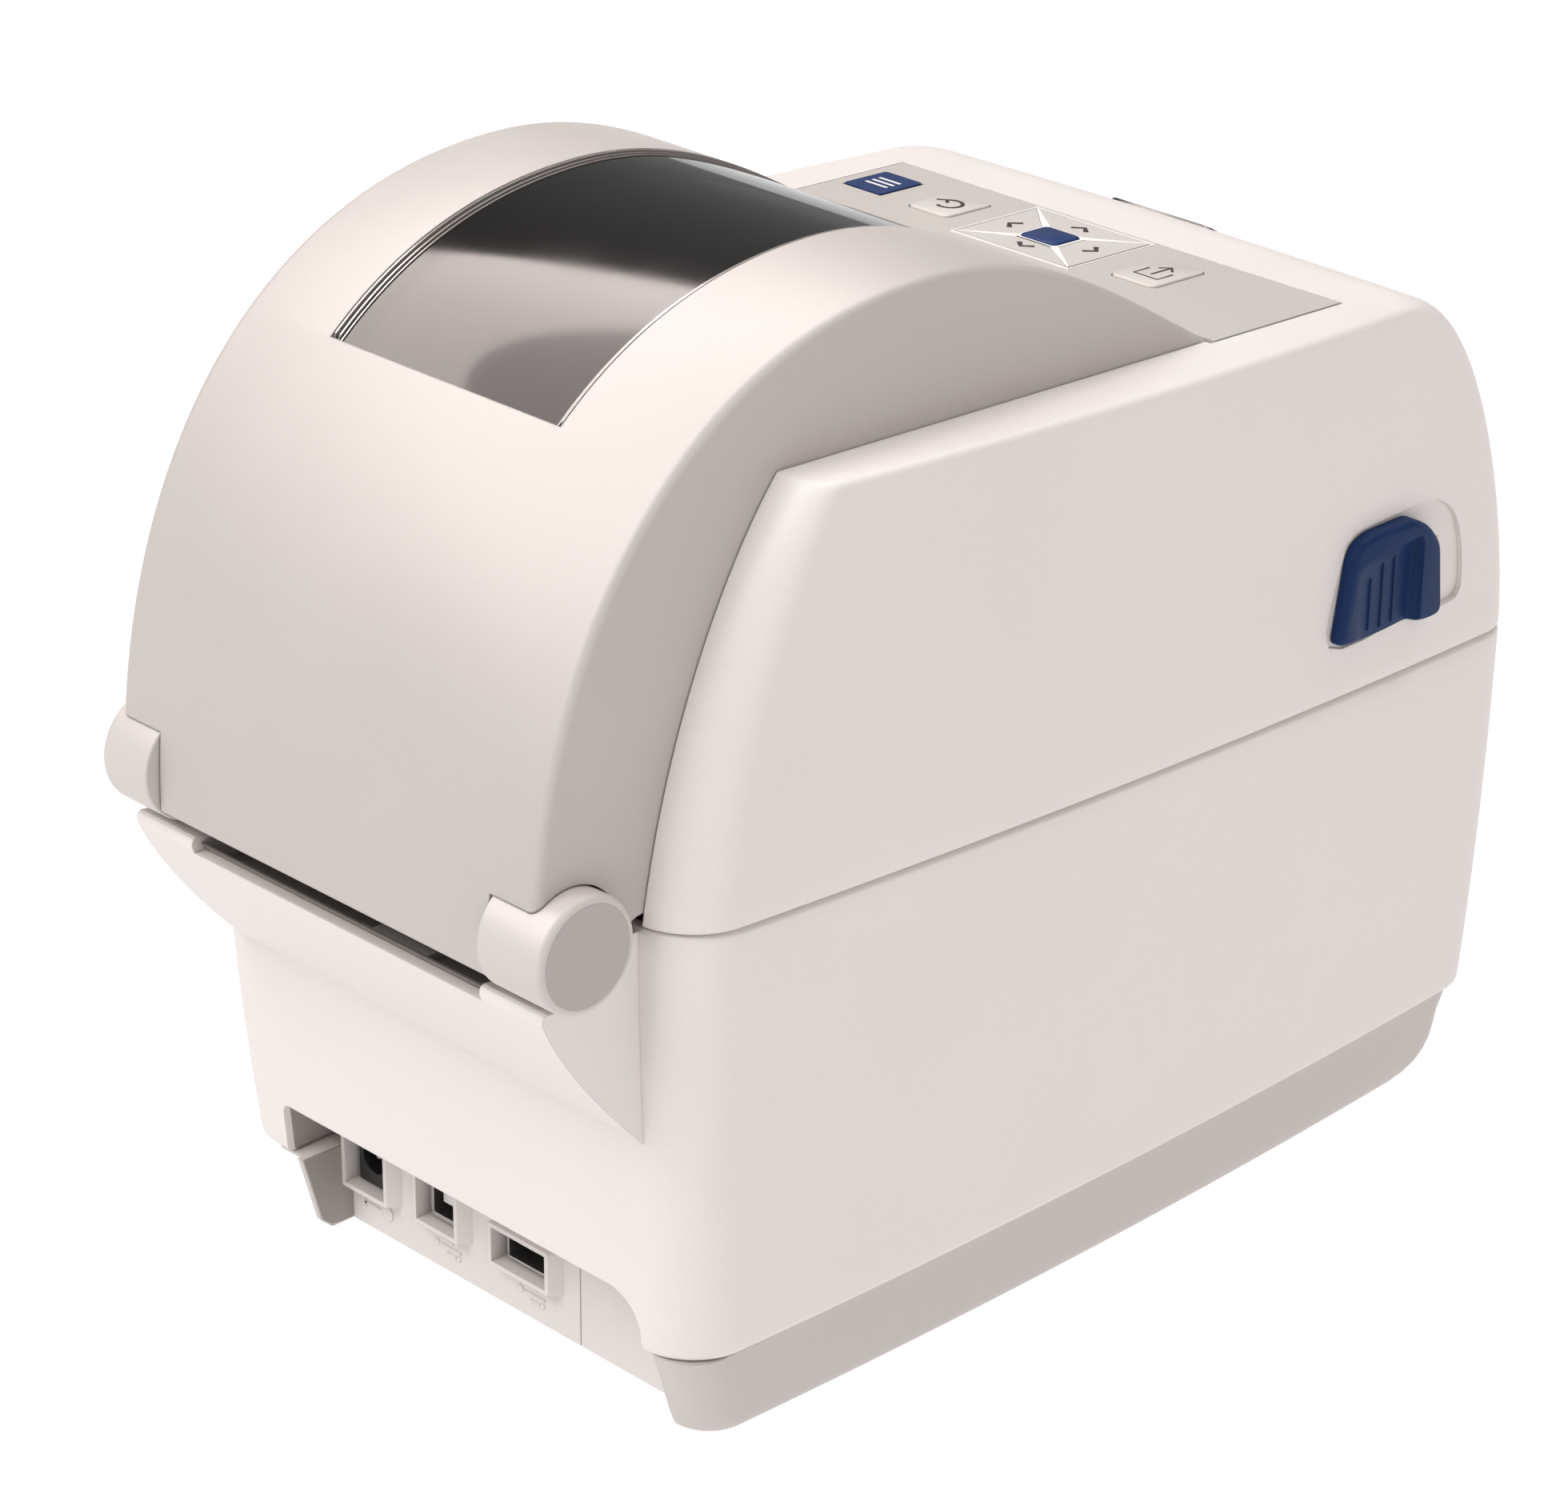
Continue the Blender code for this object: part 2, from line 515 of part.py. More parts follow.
def make_screws():
    places = {"pan_screw_front_left": (-40, -96), "pan_screw_front_right": (40, -96),
              "pan_screw_rear_left": (-40, 78), "pan_screw_rear_right": (40, 78)}
    for name, (x, y) in places.items():
        rings = [[(u, v, z) for u, v in circle(x, y, r, 12)]
                 for z, r in ((PAN_Z - 1.5, 3.2), (PAN_Z - GAP, 3.2), (PAN_Z - GAP + 0.01, 1.4),
                              (PAN_Z + 2.0, 1.4))]
        hole = rod_z("tool_" + name, x, y, 1.4 + GAP, 0.0, 9.0)
        loft(name, rings, "steel", (x, y, PAN_Z))
        cut(bpy.data.objects["bottom_pan"], hole)


def rod_z(name, x, y, radius, z0, z1, slot=None, count=16):
    return loft(name, [[(u, v, z) for u, v in circle(x, y, radius, count)] for z in (z0, z1)], slot, (x, y, z0))


# ---- lid ---------------------------------------------------------------------------------
LID_FRONT_TOP_Y = -99.0        # where the front curve meets the flat top
LID_REAR_TOP_Y = 82.5
LID_TOP_WALL = 3.6


def lid_ring(t, inset, drop):
    """One ring of the lid; t runs 0 at the seam to 1 at the top."""
    front_low, front_high = seam_z(FRONT_Y) + GAP, top_z(LID_FRONT_TOP_Y) - drop
    rear_low, rear_high = seam_z(REAR_Y) + GAP, top_z(LID_REAR_TOP_Y) - drop
    fy, fz = bezier_at([(FRONT_Y, front_low), (-145.0, front_low + 32), (-128.0, front_high),
                        (LID_FRONT_TOP_Y, front_high)], t)
    ry, rz = bezier_at([(REAR_Y, rear_low), (112.0, rear_low + 42), (95.0, rear_high - 14),
                        (LID_REAR_TOP_Y, rear_high)], t)
    edge = 1.6 if t == 1.0 else 0.0
    half = HALF_WIDTH - 0.7 * t - inset - edge
    radius = CORNER - 8.0 * t - 0.5 * inset
    outline = plan(half, fy + inset, ry - inset, radius, SIDE_BOW, FRONT_BOW * (1 - 0.7 * t))
    slope = (rz - fz) / (ry - fy)
    return [(x, y, fz + slope * (y - fy)) for x, y in outline]


def make_lid_shell():
    steps = (0.0, 0.14, 0.28, 0.42, 0.55, 0.67, 0.78, 0.88, 0.95, 1.0)
    outer = [lid_ring(t, 0.0, 0.0) for t in steps]
    inner = [lid_ring(t, WALL, LID_TOP_WALL) for t in reversed(steps)]
    bm = bmesh.new()
    loops = [[bm.verts.new(p) for p in ring] for ring in outer + inner]
    count = len(outer[0])
    turn = len(outer)
    for k in range(len(loops)):
        if k == turn - 1:
            continue
        low, high = loops[k], loops[(k + 1) % len(loops)]
        for i in range(count):
            j = (i + 1) % count
            bm.faces.new((low[i], low[j], high[j], high[i]))
    bm.faces.new(loops[turn - 1])
    bm.faces.new(list(reversed(loops[turn])))
    shell = finish("lid_shell", bm, "white")

    arch_room = box("tool_arch_room", (-ARCH_HALF - GAP, PANEL_REAR_Y + GAP, 90.0),
                    (ARCH_HALF + GAP, 160.0, 260.0), None)
    pocket = on_top("tool_panel_pocket", rect(-PANEL_HALF - GAP, PANEL_FRONT_Y - GAP, PANEL_HALF + GAP,
                                              PANEL_REAR_Y + 2), -2.0, 20.0, None)
    well = on_top("tool_panel_well", rect(-PANEL_HALF + 4, PANEL_FRONT_Y + 1.6, PANEL_HALF - 4, PANEL_REAR_Y + 2),
                  -15.0, 10.0, None)
    cut(shell, arch_room, pocket, well)
    for side, word in ((-1, "left"), (1, "right")):
        recess = latch_recess(side)
        cut(shell, recess)
    glass = lcd_outline(0.4)
    lcd_well = loft("tool_lcd_well", lcd_rings(glass, -1.2, 6.0), None)
    cut(shell, lcd_well)
    return shell


LCD_MIDDLE = (6.0, -115.6, 197.2)
LCD_TILT = math.radians(41)


def lcd_outline(grow):
    return rounded_rect(-17 - grow, -7 - grow, 17 + grow, 7 + grow, 4, 3)


def lcd_rings(outline, low, high):
    """Place a flat outline on the sloping front of the lid."""
    up = Vector((0, math.cos(LCD_TILT), math.sin(LCD_TILT)))
    out = Vector((0, -math.sin(LCD_TILT), math.cos(LCD_TILT)))
    middle = Vector(LCD_MIDDLE)
    rings = []
    for d in (low, high):
        rings.append([tuple(middle + Vector((u, 0, 0)) + up * v + out * d) for u, v in outline])
    return rings


LATCH = [(-73.3, 132.6), (-77.0, 152.5), (-79.0, 155.3), (-83.5, 156.6), (-98.5, 156.2), (-104.0, 153.0),
         (-108.0, 148.0), (-109.6, 130.6), (-104.5, 130.3), (-98.4, 131.4)]
LATCH_RECESS = [(-72.8, 132.2), (-76.6, 152.8), (-78.7, 155.8), (-83.4, 157.2), (-105.0, 157.2), (-112.0, 155.6),
                (-117.3, 151.2), (-120.4, 143.5), (-121.4, 134.0), (-120.4, 131.0), (-118.0, 129.9), (-104.4, 129.8),
                (-98.3, 131.0)]
LATCH_TRAVEL = 7.0
LATCH_FACE = 83.4              # outer face of the latch, from the middle of the printer


def recess_floor(y):
    """Distance of the recess floor from the middle: it sinks towards the front."""
    return 79.9 + (y + 76.5) * 0.052


def latch_recess(side):
    rings = [[(side * recess_floor(y), y, z) for y, z in LATCH_RECESS],
             [(side * 92.0, y, z) for y, z in LATCH_RECESS]]
    return loft("tool_latch_recess_%d" % side, rings, None)


def latch_slot(side):
    """Narrow window behind the thumb piece that its hook slides in."""
    return box("tool_latch_slot_%d" % side, (min(side * 70, side * 85), -105.5 - LATCH_TRAVEL, 138.0),
               (max(side * 70, side * 85), -86.0, 148.0), None)


def make_latches():
    shell = bpy.data.objects["lid_shell"]
    for side, word in ((-1, "left"), (1, "right")):
        cut(shell, latch_slot(side))
        body = loft("latch_" + word, [[(side * (recess_floor(y) + GAP), y, z) for y, z in LATCH],
                                      [(side * (LATCH_FACE - 1.6), y, z) for y, z in LATCH],
                                      [(side * LATCH_FACE, *shrink(y, z)) for y, z in LATCH]],
                    "blue", (side * 80.0, -92.0, 142.0))
        stem = box("tool_latch_stem_" + word, (min(side * 74.0, side * 81.0), -104.0, 139.5),
                   (max(side * 74.0, side * 81.0), -88.5, 146.5), None)
        scoop = [(84.0, -77.5), (81.0, -97.0), (80.7, -99.8), (84.0, -101.8)]
        finger = prism_z("tool_latch_scoop_" + word, [(side * x, y) for x, y in scoop], 120.0, 151.5, None)
        cut(body, finger)
        join(body, stem)


def shrink(y, z):
    """Draw a latch outline point a little towards the latch's middle."""
    return -92.0 + (y + 92.0) * 0.92, 142.0 + (z - 142.0) * 0.92


def arch_curve(inset=0.0, steps=11):
    """Side view of the arch from its lower rear edge to the control panel."""
    end_z = top_z(PANEL_REAR_Y) + 0.1
    rear = bezier([(147.5, 119.5), (147.0, 192.4), (108.4, 241.7), (42.6, 241.7)], steps)
    front = bezier([(42.6, 241.7), (9.1, 241.7), (-14.8, 225.3), (PANEL_REAR_Y + 0.6, end_z)], steps - 3)
    points = rear + front[1:]
    if not inset:
        return points
    moved = []
    for i, (y, z) in enumerate(points):
        before = Vector(points[max(i - 1, 0)])
        after = Vector(points[min(i + 1, len(points) - 1)])
        along = (after - before).normalized()
        moved.append((y + along.y * -inset, z + along.x * inset))
    return moved


def make_arch_cover():
    """One curved sheet with two cheeks, an eased edge, and the window opening."""
    curve = arch_curve()
    sunk = arch_curve(2.0)
    eased = arch_curve(0.6)
    thin = arch_curve(ARCH_WALL)
    cheek_low = [(PANEL_REAR_Y + 0.6, top_z(PANEL_REAR_Y) - 3.4), (20.0, 186.0), (100.0, 129.5), (120.0, 128.0)]

    def closed(points):
        return points + cheek_low

    rings = [closed(sunk), closed(eased), closed(curve), closed(curve), closed(eased), closed(sunk)]
    xs = (-ARCH_HALF, -ARCH_HALF + 0.6, -ARCH_HALF + 2.0, ARCH_HALF - 2.0, ARCH_HALF - 0.6, ARCH_HALF)
    cover = loft("arch_cover", [[(x, y, z) for y, z in ring] for x, ring in zip(xs, rings)], "light_grey")

    inside_points = thin[:-1] + [(thin[-2][0] - 30.0, thin[-2][1] - 12.0)]
    inside = prism_x("tool_arch_inside", inside_points + [(-80.0, 100.0), (100.0, 60.0), (thin[0][0], 100.0)],
                     -ARCH_HALF + 2.2, ARCH_HALF - 2.2, None)
    cut(cover, inside)
    for side in (-1, 1):
        room = rod_x("tool_barrel_room_%d" % side, HINGE_Y, HINGE_Z,
                     [(side * (BARREL_IN - 0.4), BARREL_R + 0.4), (side * 75.0, BARREL_R + 0.4)], None, 40)
        cut(cover, room)
        low = box("tool_cheek_foot_%d" % side, (min(side * 51.6, side * 75), 100.0, 100.0),
                  (max(side * 51.6, side * 75), 160.0, HINGE_Z - 1.0), None)
        cut(cover, low)
    lugs = knuckles()
    join(cover, *lugs)
    for side in (-1, 1):
        bore = rod_x("tool_knuckle_bore_%d" % side, HINGE_Y, HINGE_Z,
                     [(side * 36.0, 3.0 + GAP), (side * 58.0, 3.0 + GAP)], None, 16)
        cut(cover, bore)
    cut(cover, window_tool("tool_window_hole", 0.0, 8.0))
    cut(cover, window_tool("tool_window_rebate", 2.0, -1.2))
    return cover


def knuckles():
    """Two lugs inside the lower edge of the arch that turn on the hinge pins."""
    lugs = []
    for side in (-1, 1):
        outline = circle(HINGE_Y, HINGE_Z, 8.6, 24)
        lug = prism_x("tool_knuckle_%d" % side, outline, side * 40.0, side * 51.4, None)
        lugs.append(lug)
    return lugs


WINDOW_REAR, WINDOW_FRONT = 109.0, -30.0


def window_curve(inset, grow=0.0, steps=30):
    """The stretch of the arch curve that the window covers."""
    fine = arch_curve(inset, 44)
    part = [(y, z) for y, z in fine if WINDOW_FRONT - grow <= y <= WINDOW_REAR + grow and z > 190]
    stride = max(1, len(part) // steps)
    kept = part[::stride]
    if kept[-1] != part[-1]:
        kept.append(part[-1])
    return kept


def window_tool(name, grow, reach):
    """A curved block through the arch; a negative reach stops it below the surface."""
    outer = window_curve(-reach, grow)
    inner = window_curve(12.0, grow)
    outline = outer + list(reversed(inner))
    return prism_x(name, outline, WINDOW_X[0] - grow, WINDOW_X[1] + grow, None)


def make_window():
    outer = window_curve(1.5, 1.6, 20)
    inner = window_curve(3.4, 1.6, 20)
    return prism_x("window", outer + list(reversed(inner)), WINDOW_X[0] - 1.6, WINDOW_X[1] + 1.6, "smoke")


# ---- control panel ------------------------------------------------------------------------
BUTTONS = {                    # name: (x0, y0, x1, y1)
    "button_feed": (-34.2, -80.5, -21.5, -62.5),
    "button_reset": (29.6, -79.6, 42.0, -64.0),
    "button_select": (-0.6, -76.6, 10.2, -67.4),
}
PAD = (-12.4, -86.0, 21.6, -59.0)
BADGE = (51.4, -79.0, 63.2, -65.0)
BUTTON_TRAVEL = 0.8


def pad_quarters():
    """Four trapezoids of the square pad, round the middle button."""
    x0, y0, x1, y1 = PAD
    a0, b0, a1, b1 = BUTTONS["button_select"]
    g = 0.5
    ring = 0.9
    return {
        "nav_left": [(x0, y0 + g), (a0 - ring, b0 + g), (a0 - ring, b1 - g), (x0, y1 - g)],
        "nav_right": [(x1, y1 - g), (a1 + ring, b1 - g), (a1 + ring, b0 + g), (x1, y0 + g)],
        "nav_up": [(x0 + g, y1), (a0 + g, b1 + ring), (a1 - g, b1 + ring), (x1 - g, y1)],
        "nav_down": [(x1 - g, y0), (a1 - g, b0 - ring), (a0 + g, b0 - ring), (x0 + g, y0)],
    }


def make_panel():
    plate = on_top("control_panel", rect(-PANEL_HALF, PANEL_FRONT_Y, PANEL_HALF, PANEL_REAR_Y), -1.7, 0.0,
                   "warm_grey")
    holes = []
    for name in ("button_feed", "button_reset"):
        x0, y0, x1, y1 = BUTTONS[name]
        holes.append(on_top("tool_" + name, rounded_rect(x0 - GAP, y0 - GAP, x1 + GAP, y1 + GAP, 2.0, 3),
                            -5.0, 5.0, None))
    x0, y0, x1, y1 = PAD
    holes.append(on_top("tool_pad", rect(x0 - GAP, y0 - GAP, x1 + GAP, y1 + GAP), -5.0, 5.0, None))
    x0, y0, x1, y1 = BADGE
    holes.append(on_top("tool_badge", rect(x0 - GAP, y0 - GAP, x1 + GAP, y1 + GAP), -0.8, 5.0, None))
    cut(plate, *holes)

    on_top("badge", rect(*BADGE), -0.5, 0.25, "blue")
    for name, (bx0, by0, bx1, by1) in BUTTONS.items():
        slot = "blue" if name == "button_select" else "warm_grey"
        radius = 1.2 if name == "button_select" else 1.8
        on_top(name, rounded_rect(bx0, by0, bx1, by1, radius, 3), -2.2, 0.5 if slot == "blue" else 0.25, slot,
               ((bx0 + bx1) / 2, (by0 + by1) / 2, top_z((by0 + by1) / 2)))
    for name, outline in pad_quarters().items():
        mid = (sum(p[0] for p in outline) / 4, sum(p[1] for p in outline) / 4)
        on_top(name, outline, -2.2, 0.2, "warm_grey", (*mid, top_z(mid[1])))
    on_top("panel_board", rect(-58.0, -82.0, 60.0, -50.0), -8.0, -6.4, "board")
    x, y, z = LCD_MIDDLE
    loft("lcd_window", lcd_rings(lcd_outline(0.0), -0.9, 0.4), "black", (x, y, z))


# ---- print head and ribbon, carried by the lid -----------------------------------------------
RIBBON = {"supply": (-8.0, 176.0), "take_up": (-70.0, 160.0)}
CORE_R = 12.0


def make_ribbon():
    """A black frame with two cheeks that holds the head and the two ribbon spindles."""
    x0, x1 = MEDIA_X - 58.0, MEDIA_X + 58.0
    cheek = [(22.0, 178.0), (6.0, 196.0), (-38.0, 194.0), (-92.0, 182.0), (-120.0, 150.0), (-126.0, 128.0),
             (-112.0, 121.0), (-88.0, 135.0), (-20.0, 150.0)]
    frame = prism_x("ribbon_frame", cheek, x0, x1, "black")
    hollow = [(40.0, 230.0), (-88.0, 230.0), (-110.0, 160.0), (-111.0, 124.0), (-110.0, 100.0), (40.0, 100.0)]
    room = prism_x("tool_ribbon_room", hollow, x0 + 2.5, x1 - 2.5, None)
    cut(frame, room)
    for word, (y, z) in RIBBON.items():
        bore = rod_x("tool_bore_" + word, y, z, [(x0 - 4, 3.5), (x1 + 4, 3.5)], None, 16)
        cut(frame, bore)
        radii = [(x0 - 1.5, 3.2), (x0 + 3.2, 3.2), (x0 + 3.21, CORE_R), (x1 - 3.21, CORE_R), (x1 - 3.2, 3.2),
                 (x1 + 1.5, 3.2)]
        rod_x("ribbon_%s_spindle" % word, y, z, radii, "nylon", 24)
    head = [(-136.5, 117.6), (-131.5, 117.0), (-113.0, 119.0), (-113.0, 120.7), (-127.5, 127.7),
            (-136.5, 122.0)]
    prism_x("printhead", head, MEDIA_X - 53.0, MEDIA_X + 53.0, "steel")


def make_all():
    clear_scene()
    make_base_shell()
    make_pan()
    make_feet()
    make_port_panel()
    make_sockets()
    make_hinges()
    make_media_bay()
    make_roll_guides()
    make_drive()
    make_base_details()
    make_screws()
    make_lid_shell()
    make_latches()
    make_arch_cover()
    make_window()
    make_panel()
    make_ribbon()


make_all()
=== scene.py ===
"""Looks of the desktop label printer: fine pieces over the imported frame, materials, light and camera."""
import json
import math

import bmesh
import bpy
from mathutils import Matrix, Vector


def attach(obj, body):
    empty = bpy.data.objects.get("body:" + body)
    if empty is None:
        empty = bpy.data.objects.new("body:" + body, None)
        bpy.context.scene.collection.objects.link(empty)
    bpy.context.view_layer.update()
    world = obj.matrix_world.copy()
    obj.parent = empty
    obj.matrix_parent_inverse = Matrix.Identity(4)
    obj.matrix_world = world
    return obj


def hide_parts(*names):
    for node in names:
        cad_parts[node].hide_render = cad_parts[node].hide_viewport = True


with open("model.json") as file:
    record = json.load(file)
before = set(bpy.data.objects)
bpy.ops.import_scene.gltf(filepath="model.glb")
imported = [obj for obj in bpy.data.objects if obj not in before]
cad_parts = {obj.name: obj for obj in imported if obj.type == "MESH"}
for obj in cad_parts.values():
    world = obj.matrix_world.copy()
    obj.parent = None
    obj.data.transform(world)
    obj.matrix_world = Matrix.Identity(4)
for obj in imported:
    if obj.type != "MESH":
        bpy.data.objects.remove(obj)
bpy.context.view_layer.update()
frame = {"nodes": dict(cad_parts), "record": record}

MM = 0.001
SHARP_ANGLE = math.radians(30)

# ---- the casing's driving dimensions, in mm, as in the frame -------------------------------------
HALF_WIDTH, SIDE_BOW = 78.5, 3.0
FRONT_Y, FRONT_BOW, REAR_Y = -147.3, 4.0, 119.0
CORNER, WALL, BASE_Z, PAN_Z = 15.0, 2.5, 23.0, 2.6
SEAM_REAR_Z, SEAM_SLOPE = 125.0, 0.033
TOP_ZERO_Z, TOP_SLOPE = 208.5, 0.0407
HINGE_Y, HINGE_Z = 138.0, 127.4
BARREL_R, BARREL_IN = 12.7, 52.0
BARREL_ENDS = {-1: 70.6, 1: 67.4}
ARCH_HALF, ARCH_WALL = 65.0, 2.5
WINDOW_X = (-32.0, 38.0)
WINDOW_REAR, WINDOW_FRONT = 109.0, -30.0
PANEL_HALF, PANEL_REAR_Y, PANEL_FRONT_Y = 66.5, -46.3, -88.0
LEDGE_HALF, LEDGE_TIP_Y, SLOT_HALF = 64.2, 144.5, 45.5
PORT_X, PAN_RECESS_X = (-59.6, 55.5), (-57.0, 51.0)
PORT_ROOF_Z, PORT_PANEL_Y = 35.8, 97.0
MEDIA_X = 3.0
GAP = 0.3


# ---- small helpers -------------------------------------------------------------------------------
def seam_z(y):
    """Height of the seam between base and lid."""
    return SEAM_REAR_Z + SEAM_SLOPE * (y - REAR_Y)


def top_z(y):
    """Height of the lid's sloping top."""
    return TOP_ZERO_Z + TOP_SLOPE * y


def finish(name, bm):
    """A shaded object in metres from a mesh built in mm."""
    bmesh.ops.scale(bm, vec=(MM, MM, MM), verts=bm.verts)
    bmesh.ops.recalc_face_normals(bm, faces=bm.faces)
    mesh = bpy.data.meshes.new(name)
    bm.to_mesh(mesh)
    bm.free()
    mesh.shade_smooth()
    mesh.set_sharp_from_angle(angle=SHARP_ANGLE)
    obj = bpy.data.objects.new(name, mesh)
    bpy.context.scene.collection.objects.link(obj)
    return obj


def loft(name, rings, closed=False):
    """A skin through rings of equal length, capped, or closed onto its first ring."""
    bm = bmesh.new()
    loops = [[bm.verts.new(p) for p in ring] for ring in rings]
    count = len(rings[0])
    spans = len(loops) if closed else len(loops) - 1
    for k in range(spans):
        low, high = loops[k], loops[(k + 1) % len(loops)]
        for i in range(count):
            j = (i + 1) % count
            bm.faces.new((low[i], low[j], high[j], high[i]))
    if not closed:
        bm.faces.new(list(reversed(loops[0])))
        bm.faces.new(loops[-1])
    return finish(name, bm)


def prism_x(name, outline, x0, x1):
    return loft(name, [[(x, y, z) for y, z in outline] for x in (x0, x1)])


def prism_y(name, outline, y0, y1):
    return loft(name, [[(x, y, z) for x, z in outline] for y in (y0, y1)])


def prism_z(name, outline, z0, z1):
    return loft(name, [[(x, y, z) for x, y in outline] for z in (z0, z1)])


def on_top(name, outline, rise0, rise1):
    """A slab that follows the sloping top between two heights."""
    return loft(name, [[(x, y, top_z(y) + r) for x, y in outline] for r in (rise0, rise1)])


def rect(x0, y0, x1, y1):
    return [(x0, y0), (x1, y0), (x1, y1), (x0, y1)]


def box(name, low, high):
    return prism_z(name, rect(low[0], low[1], high[0], high[1]), low[2], high[2])


def side_box(name, side, xs, ys, zs):
    """A box on one side of the middle plane: xs are distances from it."""
    x0, x1 = sorted(side * x for x in xs)
    return box(name, (x0, ys[0], zs[0]), (x1, ys[1], zs[1]))


def rounded_rect(x0, y0, x1, y1, radius, steps=6):
    """radius is one number, or four, anticlockwise from the corner at x1, y0."""
    radii = radius if isinstance(radius, (list, tuple)) else (radius,) * 4
    points = []
    for (cx, sx, cy, sy, start), r in zip(((x1, -1, y0, 1, -90), (x1, -1, y1, -1, 0),
                                           (x0, 1, y1, -1, 90), (x0, 1, y0, 1, 180)), radii):
        for i in range(steps + 1):
            a = math.radians(start + 90 * i / steps)
            points.append((cx + sx * r + r * math.cos(a), cy + sy * r + r * math.sin(a)))
    return points


def circle(cu, cv, radius, count=48):
    turn = 2 * math.pi / count
    return [(cu + radius * math.cos(i * turn), cv + radius * math.sin(i * turn)) for i in range(count)]


def rod_x(name, y, z, radii, count=64):
    """A turned piece along X: radii are (x, radius)."""
    return loft(name, [[(x, u, v) for u, v in circle(y, z, r, count)] for x, r in radii])


def bezier_at(points, t):
    p0, p1, p2, p3 = (Vector(p) for p in points)
    s = 1 - t
    return tuple(p0 * s ** 3 + p1 * 3 * s * s * t + p2 * 3 * s * t * t + p3 * t ** 3)


def bezier(points, steps):
    return [bezier_at(points, i / steps) for i in range(steps + 1)]


def smooth_outline(points, steps=5):
    """A closed curve through the points."""
    out = []
    count = len(points)
    for i in range(count):
        p0, p1, p2, p3 = (Vector(points[(i + k) % count]) for k in (-1, 0, 1, 2))
        for k in range(steps):
            t = k / steps
            out.append(tuple(0.5 * (2 * p1 + (p2 - p0) * t + (2 * p0 - 5 * p1 + 4 * p2 - p3) * t * t
                                    + (3 * p1 - p0 - 3 * p2 + p3) * t ** 3)))
    return out


def boolean(target, operation, *tools):
    """Apply cutters or additions one by one and remove them."""
    for tool in tools:
        mod = target.modifiers.new(operation, "BOOLEAN")
        mod.operation = operation
        mod.solver = "EXACT"
        mod.object = tool
        bpy.context.view_layer.update()
        graph = bpy.context.evaluated_depsgraph_get()
        mesh = bpy.data.meshes.new_from_object(target.evaluated_get(graph))
        target.modifiers.clear()
        old = target.data
        target.data = mesh
        bpy.data.meshes.remove(old)
        bpy.data.objects.remove(tool, do_unlink=True)
    target.data.shade_smooth()
    target.data.set_sharp_from_angle(angle=SHARP_ANGLE)


def join_all(name, pieces):
    """One object from several closed pieces that only touch."""
    bm = bmesh.new()
    for piece in pieces:
        bm.from_mesh(piece.data)
        bpy.data.objects.remove(piece, do_unlink=True)
    bmesh.ops.scale(bm, vec=(1 / MM, 1 / MM, 1 / MM), verts=bm.verts)
    return finish(name, bm)


def cut(target, *tools):
    boolean(target, "DIFFERENCE", *tools)


def join(target, *tools):
    boolean(target, "UNION", *tools)


def ease(obj, width, segments=3, angle=35):
    """Round the sharp edges of a piece."""
    mod = obj.modifiers.new("ease", "BEVEL")
    mod.width = width * MM
    mod.segments = segments
    mod.limit_method = "ANGLE"
    mod.angle_limit = math.radians(angle)
    mod.use_clamp_overlap = True
    mod.harden_normals = False


def place(obj, body, slot, mat, *nodes):
    """Give a piece its material, let it ride, and let it stand for CAD nodes; the slot is not used."""
    obj.data.materials.clear()
    obj.data.materials.append(mat)
    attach(obj, body)
    if nodes:
        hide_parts(*nodes)
    return obj


# ---- materials -----------------------------------------------------------------------------------
GRAIN_DEPTH = 0.00006
CLOUD_SCALE = 22


